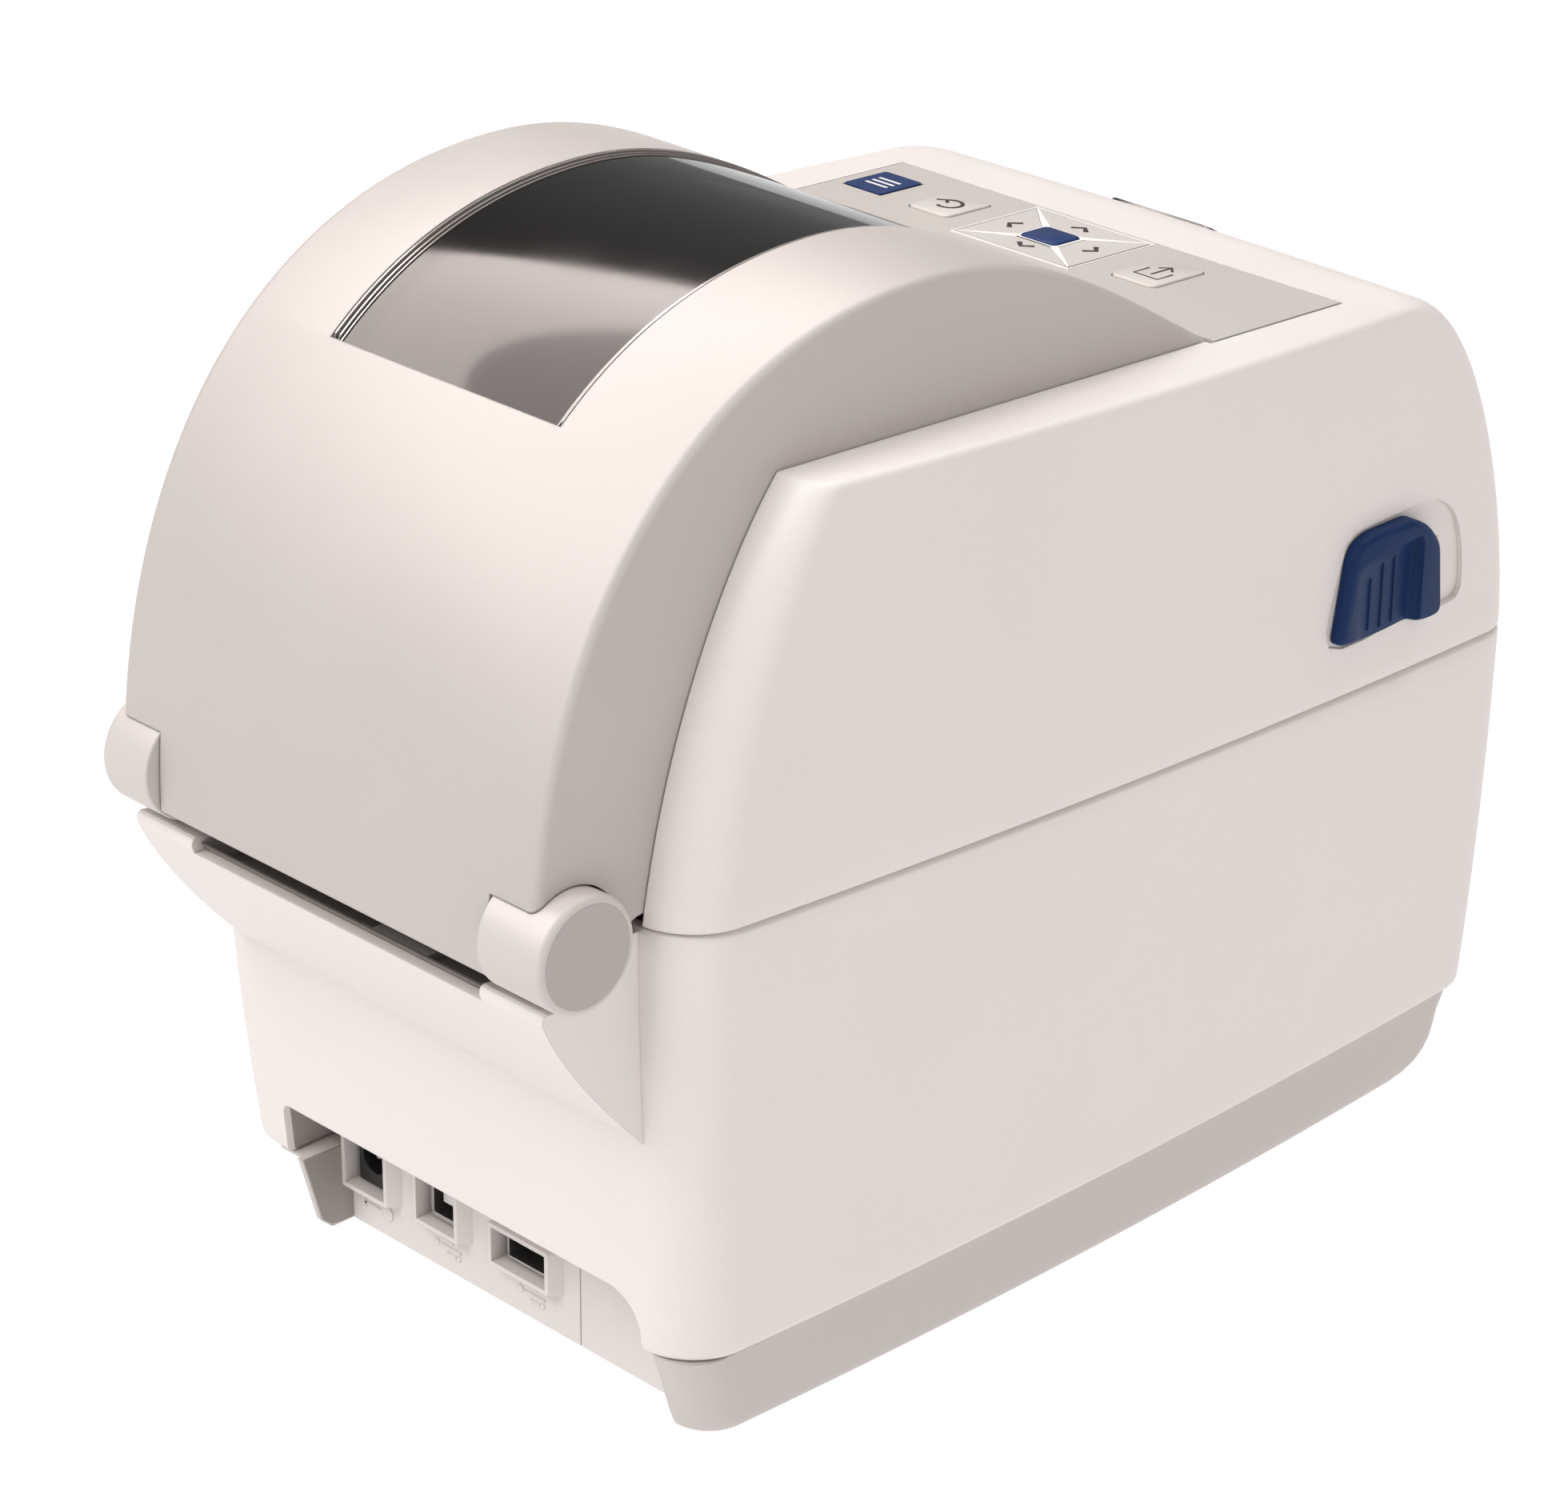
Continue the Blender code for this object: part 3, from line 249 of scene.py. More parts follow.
def moulded(name, colour, rough, grain, grain_scale, edge, tone, specular=0.4, metallic=0.0):
    """Moulded plastic: fine grain in the bump, faint cloudiness in colour and gloss, eased edges (mm)."""
    mat = bpy.data.materials.new(name)
    mat.use_nodes = True
    nodes, links = mat.node_tree.nodes, mat.node_tree.links
    shader = nodes["Principled BSDF"]
    shader.inputs["Specular IOR Level"].default_value = specular
    shader.inputs["Metallic"].default_value = metallic
    where = nodes.new("ShaderNodeTexCoord")

    def noise(scale, detail):
        node = nodes.new("ShaderNodeTexNoise")
        node.inputs["Scale"].default_value = scale
        node.inputs["Detail"].default_value = detail
        links.new(where.outputs["Object"], node.inputs["Vector"])
        return node

    def spread(source, low, high):
        node = nodes.new("ShaderNodeMapRange")
        node.inputs["From Min"].default_value = 0.3
        node.inputs["From Max"].default_value = 0.7
        node.inputs["To Min"].default_value = low
        node.inputs["To Max"].default_value = high
        links.new(source, node.inputs["Value"])
        return node.outputs["Result"]

    cloud = noise(CLOUD_SCALE, 3)
    mix = nodes.new("ShaderNodeMix")
    mix.data_type = "RGBA"
    mix.inputs["A"].default_value = (*(c * (1 - tone) for c in colour), 1)
    mix.inputs["B"].default_value = (*(min(1, c * (1 + tone)) for c in colour), 1)
    speck = noise(grain_scale * 0.8, 2)
    links.new(spread(cloud.outputs["Fac"], 0.2, 0.8), mix.inputs["Factor"])
    fine = nodes.new("ShaderNodeMix")
    fine.data_type = "RGBA"
    fine.blend_type = "MULTIPLY"
    fine.inputs["B"].default_value = (1 - tone, 1 - tone, 1 - tone, 1)
    links.new(spread(speck.outputs["Fac"], 0.0, 1.0), fine.inputs["Factor"])
    links.new(mix.outputs["Result"], fine.inputs["A"])
    links.new(fine.outputs["Result"], shader.inputs["Base Color"])
    links.new(spread(cloud.outputs["Fac"], rough - 0.03, rough + 0.04), shader.inputs["Roughness"])
    bump = nodes.new("ShaderNodeBump")
    bump.inputs["Strength"].default_value = grain
    bump.inputs["Distance"].default_value = GRAIN_DEPTH
    links.new(noise(grain_scale, 3).outputs["Fac"], bump.inputs["Height"])
    if edge:
        round_off = nodes.new("ShaderNodeBevel")
        round_off.samples = 4
        round_off.inputs["Radius"].default_value = edge * MM
        links.new(round_off.outputs["Normal"], bump.inputs["Normal"])
    links.new(bump.outputs["Normal"], shader.inputs["Normal"])
    return mat


def smoked():
    """Dark glossy plastic that lets a little of the inside through."""
    mat = moulded("smoked_clear", (0.006, 0.005, 0.004), 0.06, 0.0, 900, 0, 0.02, 0.3)
    mat.node_tree.nodes["Principled BSDF"].inputs["Alpha"].default_value = 0.82
    return mat


WHITE = moulded("white_plastic", (0.79, 0.735, 0.708), 0.46, 0.22, 1500, 0.5, 0.02)
ARCH = moulded("arch_plastic", (0.52, 0.475, 0.450), 0.40, 0.22, 1500, 0.5, 0.02)
GREY = moulded("pan_plastic", (0.58, 0.53, 0.505), 0.48, 0.25, 1300, 0.5, 0.02)
# painted light: the pan's light grey made lighter for the socket plate and its marks, standing in for light
# bounced up from the floor
SOCKET_PAINTED_LIGHT = moulded("socket_grey_painted_light", (0.70, 0.655, 0.63), 0.48, 0.25, 1300, 0.4, 0.02)
# painted shade: dark grey for thin sheets on the post and the mouth's side wall, standing in for the shade
# in the socket recess
SHADE = moulded("painted_recess_shade", (0.30, 0.275, 0.26), 0.55, 0.25, 1300, 0.2, 0.02)
# painted shade: the barrel's plastic made darker for its end face, standing in for the shade on it
DISC_PAINTED_SHADE = moulded("barrel_end_painted_shade", (0.46, 0.41, 0.395), 0.44, 0.2, 1500, 0.3, 0.02)
BARREL = moulded("barrel_plastic", (0.61, 0.56, 0.535), 0.42, 0.15, 1500, 0.4, 0.02)
# painted shade: a dark grey for the seam lip and the slot, standing in for the shade in the seam's gap and
# inside the slot
PAINTED_SHADE_GREY = moulded("painted_shade_grey", (0.24, 0.215, 0.20), 0.50, 0.2, 1300, 0.2, 0.03)
# painted highlight: a lighter grey for strips inside the pane, standing in for the light lines along its
# clear edge
EDGE_PAINTED_HIGHLIGHT = moulded("painted_edge_highlight", (0.26, 0.235, 0.22), 0.10, 0.0, 1300, 0.1, 0.02, 0.9)
WARM = moulded("panel_plastic", (0.55, 0.505, 0.470), 0.42, 0.15, 1500, 0.25, 0.02)
KEY = moulded("key_plastic", (0.62, 0.575, 0.54), 0.40, 0.10, 1500, 0.3, 0.02)
BLUE = moulded("latch_blue", (0.010, 0.029, 0.098), 0.40, 0.22, 1500, 0.3, 0.05, 0.10)
BLUE_KEY = moulded("key_blue", (0.011, 0.033, 0.128), 0.35, 0.12, 1500, 0.3, 0.04, 0.15)
INK_WHITE = moulded("ink_white", (0.88, 0.86, 0.84), 0.5, 0.05, 1500, 0, 0.01)
INK_BLACK = moulded("ink_black", (0.012, 0.012, 0.014), 0.5, 0.05, 1500, 0, 0.01)
BLACK = moulded("black_plastic", (0.018, 0.017, 0.017), 0.42, 0.3, 1200, 0.3, 0.08)
RUBBER = moulded("rubber", (0.028, 0.028, 0.028), 0.75, 0.4, 900, 0.4, 0.1)
ROLLER = moulded("roller_rubber", (0.05, 0.05, 0.055), 0.55, 0.2, 1500, 0.3, 0.06)
STEEL = moulded("steel", (0.58, 0.57, 0.56), 0.30, 0.12, 700, 0.2, 0.06, 0.5, 1.0)
NYLON = moulded("nylon", (0.74, 0.71, 0.66), 0.42, 0.1, 1200, 0.3, 0.03)
BOARD = moulded("board_green", (0.015, 0.11, 0.045), 0.35, 0.3, 300, 0.1, 0.15)
SMOKE = smoked()
LCD = moulded("lcd_glass", (0.012, 0.013, 0.016), 0.12, 0.0, 900, 0.2, 0.05, 0.6)


# ---- casing outlines -----------------------------------------------------------------------------
def plan(half, front, rear, radius, bow, front_bow, corner_steps=12, bow_steps=24):
    """Outline seen from above: rounded corners, bowed sides and front, straight rear."""
    points = []
    mid = (front + rear) / 2
    reach = (rear - front) / 2 - radius

    def corner(cx, cy, start):
        for i in range(corner_steps + 1):
            a = math.radians(start + 90 * i / corner_steps)
            points.append((cx + radius * math.cos(a), cy + radius * math.sin(a)))

    inner = [-1 + 2 * i / bow_steps for i in range(1, bow_steps)]
    corner(-half + radius, front + radius, 180)
    span = half - radius
    points += [(u * span, front - front_bow * (1 - u * u)) for u in inner]
    corner(half - radius, front + radius, 270)
    points += [(half + bow * (1 - u * u), mid + u * reach) for u in inner]
    corner(half - radius, rear - radius, 0)
    corner(-half + radius, rear - radius, 90)
    points += [(-half - bow * (1 - u * u), mid - u * reach) for u in inner]
    return points


def base_ring(height, inset, lift=0.0):
    """Outline of the base at a height from 0 at its foot to 1 at the seam."""
    drop = 1 - height
    taper = 4.6 * drop ** 2
    outline = plan(HALF_WIDTH - 0.85 * taper - inset, FRONT_Y + 0.6 * drop + inset,
                   REAR_Y - taper - inset, CORNER - inset, SIDE_BOW, FRONT_BOW)
    return [(x, y, BASE_Z + height * (seam_z(y) - GAP - BASE_Z) + lift) for x, y in outline]


LEDGE_ROOT_Y = REAR_Y - 1.5
LIP_INNER, LIP_OUTER, LIP_FOOT, LIP_TOP = 4.2, 2.85, -3.0, 1.4
SLOT_FLOOR_Z, LINING_HALF = 106.5, 45.3


def make_base():
    """Casing wall with the ledge, the fan-fold slot, the mouth for the sockets and the label exit."""
    foot_edge = [(0.0, 1.3), (0.003, 0.55), (0.008, 0.15), (0.016, 0.0)]
    wall = [(h, 0.0) for h in (0.05, 0.1, 0.16, 0.24, 0.33, 0.43, 0.54, 0.65, 0.76, 0.87, 0.95, 0.988)]
    seam_edge = [(0.9905, 0.12), (0.9955, 0.5), (0.999, 1.05), (1.0, 1.5)]
    outer = [base_ring(h, i) for h, i in foot_edge + wall + seam_edge]
    inner = [base_ring(h, WALL + 0.4) for h in (1.0, 0.8, 0.5, 0.25, 0.0)]
    shell = loft("base_casing", outer + inner, closed=True)
    under = bezier([(LEDGE_TIP_Y, 112.0), (140.5, 102.0), (130.0, 88.0), (LEDGE_ROOT_Y, 75.0)], 24)
    profile = [(LEDGE_ROOT_Y, 110.5), (LEDGE_TIP_Y - 1.2, 114.2), (LEDGE_TIP_Y - 0.4, 113.8),
               (LEDGE_TIP_Y, 113.0)] + under
    ledge = prism_x("t_ledge", profile, -LEDGE_HALF, LEDGE_HALF)
    block = box("t_port_block", (PORT_X[0] - WALL, 92.0, BASE_Z + 0.4),
                (PORT_X[1] + WALL, 112.0, PORT_ROOF_Z + WALL))
    join(shell, ledge, block)
    for side in (-1, 1):
        join(shell, side_box("t_web", side, (51.5, LEDGE_HALF), (LEDGE_ROOT_Y, 131.0), (108.0, 124.0)))
    slot = prism_x("t_slot", [(112.0, SLOT_FLOOR_Z), (138.4, SLOT_FLOOR_Z), (142.3, 112.8), (142.3, 140.0),
                              (112.0, 140.0)], -SLOT_HALF, SLOT_HALF)
    notch = box("t_notch", (-SLOT_HALF, 140.0, 110.6), (SLOT_HALF, 150.0, 140.0))
    mouth_outline = rounded_rect(PORT_X[0], 0.0, PORT_X[1], PORT_ROOF_Z, (1, 2.0, 9.0, 1), 10)
    mouth = prism_y("t_mouth", mouth_outline, 90.0, 130.0)
    exit_z = seam_z(FRONT_Y) - 6.5
    label_exit = box("t_exit", (MEDIA_X - 58, -160.0, exit_z), (MEDIA_X + 58, -140.0, 140.0))
    cut(shell, slot, notch, mouth, label_exit)
    seat_r = BARREL_R + 0.2
    for side in (-1, 1):
        seat = [(side * (BARREL_IN - 0.5), seat_r), (side * 72.0, seat_r)]
        cut(shell, rod_x("t_seat", HINGE_Y, HINGE_Z, seat))
    cut(shell, rod_x("t_room", HINGE_Y, HINGE_Z, [(-BARREL_IN, 13.2), (BARREL_IN, 13.2)]))
    place(shell, "base", "white", WHITE, "base_shell")

    lip = loft("seam_lip", [base_ring(1.0, inset, lift) for inset, lift in
                            ((LIP_OUTER, LIP_FOOT), (LIP_OUTER, LIP_TOP), (LIP_INNER, LIP_TOP),
                             (LIP_INNER, LIP_FOOT))], closed=True)
    cut(lip, box("t_rear", (-66.5, 90.0, 90.0), (66.5, 160.0, 160.0)),
        box("t_front", (MEDIA_X - 60, -160.0, 90.0), (MEDIA_X + 60, -120.0, 160.0)))
    for side in (-1, 1):
        cut(lip, side_box("t_latch", side, (55.0, 85.0), (-114.0, -84.0), (90.0, 160.0)))
    # the seam lip is painted dark as the shade of the gap under the lid
    place(lip, "base", "white", PAINTED_SHADE_GREY)
    # the slot's floor and front wall: a warm grey guide, painted darker as the shade inside the slot
    lining = join_all("slot_guide_painted_shade", [
        box("t_floor", (-LINING_HALF, 126.5, SLOT_FLOOR_Z + 0.05),
            (LINING_HALF, 138.0, SLOT_FLOOR_Z + 0.4)),
        prism_x("t_front", [(137.6, 106.56), (138.5, 106.56), (142.2, 112.4), (141.5, 112.4)],
                -LINING_HALF, LINING_HALF)])
    place(lining, "base", "warm_grey", PAINTED_SHADE_GREY)


def make_pan():
    """Bottom pan: a boat-shaped tray, open at the sockets and at its far rear corner."""
    top = BASE_Z - GAP
    # height, half width, front and rear
    levels = [(top, 73.2, -141.0, 113.0), (17.1, 72.9, -138.3, 111.2), (13.5, 72.7, -137.6, 110.2),
              (10.0, 72.5, -136.6, 109.2), (7.8, 72.3, -135.2, 108.6), (5.8, 72.1, -133.0, 107.9),
              (4.4, 71.9, -129.5, 107.4), (3.4, 71.6, -125.0, 107.0), (2.8, 71.2, -119.5, 106.6),
              (PAN_Z, 70.6, -117.0, 106.2)]
    outer = [[(x, y, z) for x, y in plan(half, front, rear, 9.5, 2.6, 3.0)]
             for z, half, front, rear in levels]
    pan = loft("pan_casing", list(reversed(outer)))
    inner = [(PAN_Z + 2.5, 69.0, -116.0, 104.0), (top, 70.7, -131.0, 110.0), (top + 5, 70.7, -131.0, 110.0)]
    tray = loft("t_tray", [[(x, y, z) for x, y in plan(h, f, r, 7.0, 2.6, 3.0)] for z, h, f, r in inner])
    mouth = box("t_mouth", (PAN_RECESS_X[0], PORT_PANEL_Y - 1.5, -5.0), (PAN_RECESS_X[1], 130.0, 60.0))
    side_mouth = box("t_side", (-61.5, PORT_PANEL_Y + 3.3, -5.0), (-50.0, 130.0, 60.0))
    corner = box("t_corner", (52.6, 93.0, -5.0), (90.0, 130.0, 60.0))
    post = prism_x("t_post", [(90.0, PAN_Z + 0.1), (104.5, PAN_Z + 0.1), (107.0, 3.2), (109.3, 5.2),
                              (114.2, top - 0.1), (90.0, top - 0.1)], 51.0, 52.6)
    cut(pan, tray)
    join(pan, box("t_corner_wall", (51.5, 91.0, PAN_Z + 0.1), (71.0, 93.0, top - 0.1)),
         box("t_block", (-66.0, 98.0, PAN_Z + 0.1), (-56.0, 105.0, top - 0.1)))
    cut(pan, mouth, side_mouth, corner)
    back = box("t_back", (PAN_RECESS_X[0] - 1.5, PORT_PANEL_Y - 4.0, PAN_Z + 0.2),
               (PAN_RECESS_X[1] + 1.5, PORT_PANEL_Y + 1.0, 11.6))
    flange = prism_x("t_flange", [(92.0, top - 1.4), (112.3, top - 1.4), (112.8, top - 0.1),
                                  (92.0, top - 0.1)], 52.0, 60.5)
    join(pan, back, post, flange)
    place(pan, "base", "light_grey", GREY, "bottom_pan")


# ---- lid -----------------------------------------------------------------------------------------
LID_FRONT_TOP_Y, LID_REAR_TOP_Y, LID_TOP_WALL = -99.0, 82.5, 3.6
LID_EDGE_R = 1.8


def lid_ring(t, inset, drop, lift=0.0, shy=0.0):
    """Outline of the lid from 0 at the seam to 1 at the top, with the top edge eased."""
    front_low, front_high = seam_z(FRONT_Y) + GAP + lift, top_z(LID_FRONT_TOP_Y) - drop
    rear_low, rear_high = seam_z(REAR_Y) + GAP + lift, top_z(LID_REAR_TOP_Y) - drop
    fy, fz = bezier_at([(FRONT_Y, front_low), (-145.0, front_low + 32), (-128.0, front_high),
                        (LID_FRONT_TOP_Y, front_high)], t)
    ry, rz = bezier_at([(REAR_Y, rear_low), (112.0, rear_low + 42), (95.0, rear_high - 14),
                        (LID_REAR_TOP_Y, rear_high)], t)
    half = HALF_WIDTH - 0.7 * t - inset - shy
    outline = plan(half, fy + inset + shy, ry - inset - shy, CORNER - 8.0 * t - 0.5 * inset, SIDE_BOW,
                   FRONT_BOW * (1 - 0.7 * t))
    slope = (rz - fz) / (ry - fy)
    ring = []
    for x, y in outline:
        z = fz + slope * (y - fy)
        depth = top_z(y) - drop - z
        if depth < LID_EDGE_R:
            u = max(0.0, LID_EDGE_R - depth) / LID_EDGE_R
            pull = LID_EDGE_R * (1 - math.sqrt(max(0.0, 1 - u * u)))
            x -= math.copysign(pull, x) * min(1.0, abs(x) / half)
        ring.append((x, y, z))
    return ring


def latch_recess(side):
    """Cutter for the recess that a latch slides in."""
    outline = smooth_outline(LATCH_RECESS, 4)
    return loft("t_recess", [[(side * (recess_floor(y) + depth), y, z) for y, z in outline]
                             for depth in (0.0, 14.0)])


def recess_floor(y):
    """Distance of the recess's floor from the middle plane."""
    return 79.9 + (y + 76.5) * 0.052


LCD_MIDDLE, LCD_TILT = (6.0, -115.6, 197.2), math.radians(41)


def lcd_rings(outline, low, high):
    """The display's outline at two heights over its tilted seat."""
    up = Vector((0, math.cos(LCD_TILT), math.sin(LCD_TILT)))
    out = Vector((0, -math.sin(LCD_TILT), math.cos(LCD_TILT)))
    middle = Vector(LCD_MIDDLE)
    return [[tuple(middle + Vector((u, 0, 0)) + up * v + out * d) for u, v in outline] for d in (low, high)]


def make_lid():
    """Lid casing: a dome, open below, with the arch's opening, the panel's pocket and the recesses."""
    steps = [i / 28 for i in range(25)] + [0.885, 0.91, 0.93, 0.945, 0.96, 0.972, 0.983, 0.992, 1.0]
    outer = [lid_ring(0.0, 0.0, 0.0, 0.0, 0.45), lid_ring(0.0, 0.0, 0.0, 0.15, 0.1)]
    outer += [lid_ring(t, 0.0, 0.0, 0.5) for t in steps]
    inner = [lid_ring(t, WALL, LID_TOP_WALL)
             for t in (1.0, 0.95, 0.88, 0.78, 0.67, 0.55, 0.42, 0.28, 0.14, 0.0)]
    bm = bmesh.new()
    loops = [[bm.verts.new(p) for p in ring] for ring in outer + inner]
    count, turn = len(outer[0]), len(outer)
    for k in range(len(loops)):
        if k != turn - 1:
            low, high = loops[k], loops[(k + 1) % len(loops)]
            for i in range(count):
                j = (i + 1) % count
                bm.faces.new((low[i], low[j], high[j], high[i]))
    bm.faces.new(loops[turn - 1])
    bm.faces.new(list(reversed(loops[turn])))
    shell = finish("lid_casing", bm)
    room = box("t_arch", (-ARCH_HALF - GAP, PANEL_REAR_Y + GAP, 90.0), (ARCH_HALF + GAP, 160.0, 260.0))
    pocket = rect(-PANEL_HALF - GAP, PANEL_FRONT_Y - GAP, PANEL_HALF + GAP, PANEL_REAR_Y + 2)
    well = rect(-PANEL_HALF + 4, PANEL_FRONT_Y + 1.6, PANEL_HALF - 4, PANEL_REAR_Y + 2)
    cut(shell, room, on_top("t_pocket", pocket, -2.0, 20.0), on_top("t_well", well, -15.0, 10.0))
    for side in (-1, 1):
        cut(shell, latch_recess(side), side_box("t_slot", side, (70, 85), (-112.5, -90.0), (138.0, 147.0)))
    cut(shell, loft("t_lcd", lcd_rings(rounded_rect(-17.4, -7.4, 17.4, 7.4, 4.4), -1.2, 6.0)))
    place(shell, "lid", "white", WHITE, "lid_shell")


def arch_curve(inset=0.0, rear_steps=56, front_steps=40):
    """Side profile of the arch from its rear foot to the panel, moved inwards by an inset."""
    end_z = top_z(PANEL_REAR_Y) + 0.1
    rear = bezier([(147.5, 119.5), (147.0, 192.4), (108.4, 241.7), (42.6, 241.7)], rear_steps)
    front = bezier([(42.6, 241.7), (9.1, 241.7), (-14.8, 225.3), (PANEL_REAR_Y + 0.6, end_z)], front_steps)
    points = rear + front[1:]
    if not inset:
        return points
    moved = []
    for i, (y, z) in enumerate(points):
        along = (Vector(points[min(i + 1, len(points) - 1)]) - Vector(points[max(i - 1, 0)])).normalized()
        moved.append((y - along.y * inset, z + along.x * inset))
    return moved


ARCH_EDGE_R, PIN_HOLE_R = 2.2, 3.3


def make_arch():
    """Arch cover with eased edges, hinge knuckles and the window's opening."""
    low = [(PANEL_REAR_Y + 0.6, top_z(PANEL_REAR_Y) - 3.4), (20.0, 186.0), (100.0, 129.5), (120.0, 128.0)]
    rings = []
    turns = [math.radians(a) for a in (90, 72, 54, 36, 18, 0)]
    for side in (-1, 1):
        for a in (turns if side < 0 else reversed(turns)):
            x = side * (ARCH_HALF - ARCH_EDGE_R + ARCH_EDGE_R * math.sin(a))
            curve = arch_curve(ARCH_EDGE_R * (1 - math.cos(a)))
            rings.append([(x, y, z) for y, z in curve + low])
    cover = loft("arch_shell", rings)
    thin = arch_curve(ARCH_WALL)
    inside = thin[:-1] + [(thin[-2][0] - 30.0, thin[-2][1] - 12.0), (-80.0, 100.0), (100.0, 60.0),
                          (thin[0][0], 100.0)]
    cut(cover, prism_x("t_inside", inside, -ARCH_HALF + 2.2, ARCH_HALF - 2.2))
    room_r = BARREL_R + 0.4
    for side in (-1, 1):
        room = rod_x("t_room", HINGE_Y, HINGE_Z, [(side * (BARREL_IN - 0.4), room_r),
                                                  (side * 75.0, room_r)])
        cut(cover, room, side_box("t_foot", side, (51.6, 75), (100.0, 160.0), (100.0, HINGE_Z - 1.0)))
        join(cover, prism_x("t_knuckle", circle(HINGE_Y, HINGE_Z, 8.6), side * 40.0, side * 51.4))
        bore = [(side * 36.0, PIN_HOLE_R), (side * 58.0, PIN_HOLE_R)]
        cut(cover, rod_x("t_bore", HINGE_Y, HINGE_Z, bore, 32))
    cut(cover, window_block("t_hole", 0.0, 8.0, 12.0), window_block("t_rebate", 2.0, -1.2, 12.0))
    place(cover, "lid", "light_grey", ARCH, "arch_cover")


def window_curve(inset, grow=0.0):
    """The part of the arch's profile that the window spans."""
    fine = arch_curve(inset, 132, 96)
    return [(y, z) for y, z in fine if WINDOW_FRONT - grow <= y <= WINDOW_REAR + grow and z > 190]


def window_block(name, grow, reach, depth):
    """A curved block through the arch between two insets."""
    outer, inner = window_curve(-reach, grow), window_curve(depth, grow)
    return prism_x(name, outer + list(reversed(inner)), WINDOW_X[0] - grow, WINDOW_X[1] + grow)


def curved_slab(name, out, back, grow, x0, x1):
    """A strip of the window's curve between two insets."""
    return prism_x(name, window_curve(out, grow) + list(reversed(window_curve(back, grow))), x0, x1)


def make_window():
    """Smoked pane with a flange behind the arch, and lighter strips inside it painted in as the highlights
    of its clear edge.
    """
    x0, x1 = WINDOW_X[0] + 0.35, WINDOW_X[1] - 0.35
    pane = curved_slab("window_pane", 0.9, 2.6, -0.35, x0, x1)
    join(pane, curved_slab("t_flange", 1.7, 3.4, 1.6, WINDOW_X[0] - 1.6, WINDOW_X[1] + 1.6))
    place(pane, "lid", "smoke", SMOKE, "window")
    # lighter strips inside the pane: painted highlights of its clear edge
    strips = [curved_slab("t_edge", out, 1.0, -0.4, a, b) for a, b, out in
              ((x0, x0 + 0.5, 0.1), (x0 + 0.9, x0 + 1.3, 0.55), (x1 - 0.5, x1, 0.1),
               (x1 - 1.6, x1 - 1.1, 0.45), (x1 - 2.6, x1 - 2.2, 0.65))]
    curve = window_curve(0.1, -0.35)
    (y, z), (v, w) = curve[-1], curve[-6]
    strips.append(prism_x("t_end", [(y, z), (v, w), (v, w - 0.9), (y, z - 0.9)], x0, x1))
    place(join_all("window_edge_highlights", strips), "lid", "smoke", EDGE_PAINTED_HIGHLIGHT)


def make_barrels():
    """Hinge barrels with a rounded outer edge, and an end face painted darker as shade."""
    for side, word in ((-1, "left"), (1, "right")):
        end = BARREL_ENDS[side]
        radii = [(BARREL_IN, 3.4), (BARREL_IN, BARREL_R - 0.3), (BARREL_IN + 0.3, BARREL_R),
                 (end - 1.6, BARREL_R)]
        for i in range(1, 7):
            a = math.radians(15 * i)
            radii.append((end - 1.6 + 1.4 * math.sin(a), BARREL_R - 1.5 + 1.5 * math.cos(a)))
        radii.append((end - 0.2, 2.0))
        barrel = rod_x("hinge_cap_" + word, HINGE_Y, HINGE_Z, [(side * x, r) for x, r in radii])
        bore = [(side * (BARREL_IN - 2), PIN_HOLE_R), (side * (end - 5), PIN_HOLE_R)]
        cut(barrel, rod_x("t_bore", HINGE_Y, HINGE_Z, bore, 32))
        place(barrel, "base", "light_grey", BARREL, "hinge_barrel_" + word)
        face = rod_x("hinge_face_" + word, HINGE_Y, HINGE_Z, [(side * (end - 0.3), BARREL_R - 1.5),
                                                              (side * (end - 0.1), BARREL_R - 1.65)])
        place(face, "base", "light_grey", DISC_PAINTED_SHADE)


# ---- latches -------------------------------------------------------------------------------------
LATCH = [(-73.3, 132.6), (-77.0, 152.5), (-79.0, 155.3), (-83.5, 156.6), (-98.5, 156.2), (-104.0, 153.0),
         (-108.0, 148.0), (-109.6, 130.6), (-104.5, 130.3), (-98.4, 131.4)]
LATCH_RECESS = [(-72.8, 132.2), (-76.6, 152.8), (-78.7, 155.8), (-83.4, 157.2), (-105.0, 157.2),
                (-112.0, 155.6), (-117.3, 151.2), (-120.4, 143.5), (-121.4, 134.0), (-120.4, 131.0),
                (-118.0, 129.9), (-104.4, 129.8), (-98.3, 131.0)]
LATCH_FACE, LATCH_MIDDLE, LATCH_CORNER = 83.4, (-92.0, 142.0), 2.2
# the thumb hollow's floor: distance from the middle plane and y
THUMB_FLOOR = [(84.4, -76.6), (83.0, -80.2), (82.5, -84.0), (82.1, -88.0), (81.7, -92.0), (81.2, -95.6),
               (80.8, -98.2), (80.6, -99.4), (80.8, -100.2), (82.2, -101.0), (84.4, -101.6)]
# each rib's y, distance from the middle plane, lower and upper end
LATCH_RIBS = ((-83.6, 82.55, 133.4, 146.5), (-88.4, 82.05, 132.6, 149.0), (-93.0, 81.6, 132.6, 150.6))


def softened(points, reach, steps=4):
    """Round every corner of an outline with a small arc."""
    out = []
    for i, p in enumerate(points):
        p = Vector(p)
        before, after = Vector(points[i - 1]) - p, Vector(points[(i + 1) % len(points)]) - p
        a = p + before.normalized() * min(reach, before.length * 0.45)
        b = p + after.normalized() * min(reach, after.length * 0.45)
        for k in range(steps + 1):
            t = k / steps
            out.append(tuple(a * (1 - t) ** 2 + p * 2 * t * (1 - t) + b * t * t))
    return out


def latch_outline(shrink):
    """The latch seen from the side, drawn in towards its middle."""
    middle = Vector(LATCH_MIDDLE)
    outline = []
    for point in softened(LATCH, LATCH_CORNER):
        d = Vector(point) - middle
        outline.append(tuple(middle + d * max(0.0, 1 - shrink / d.length)))
    return outline


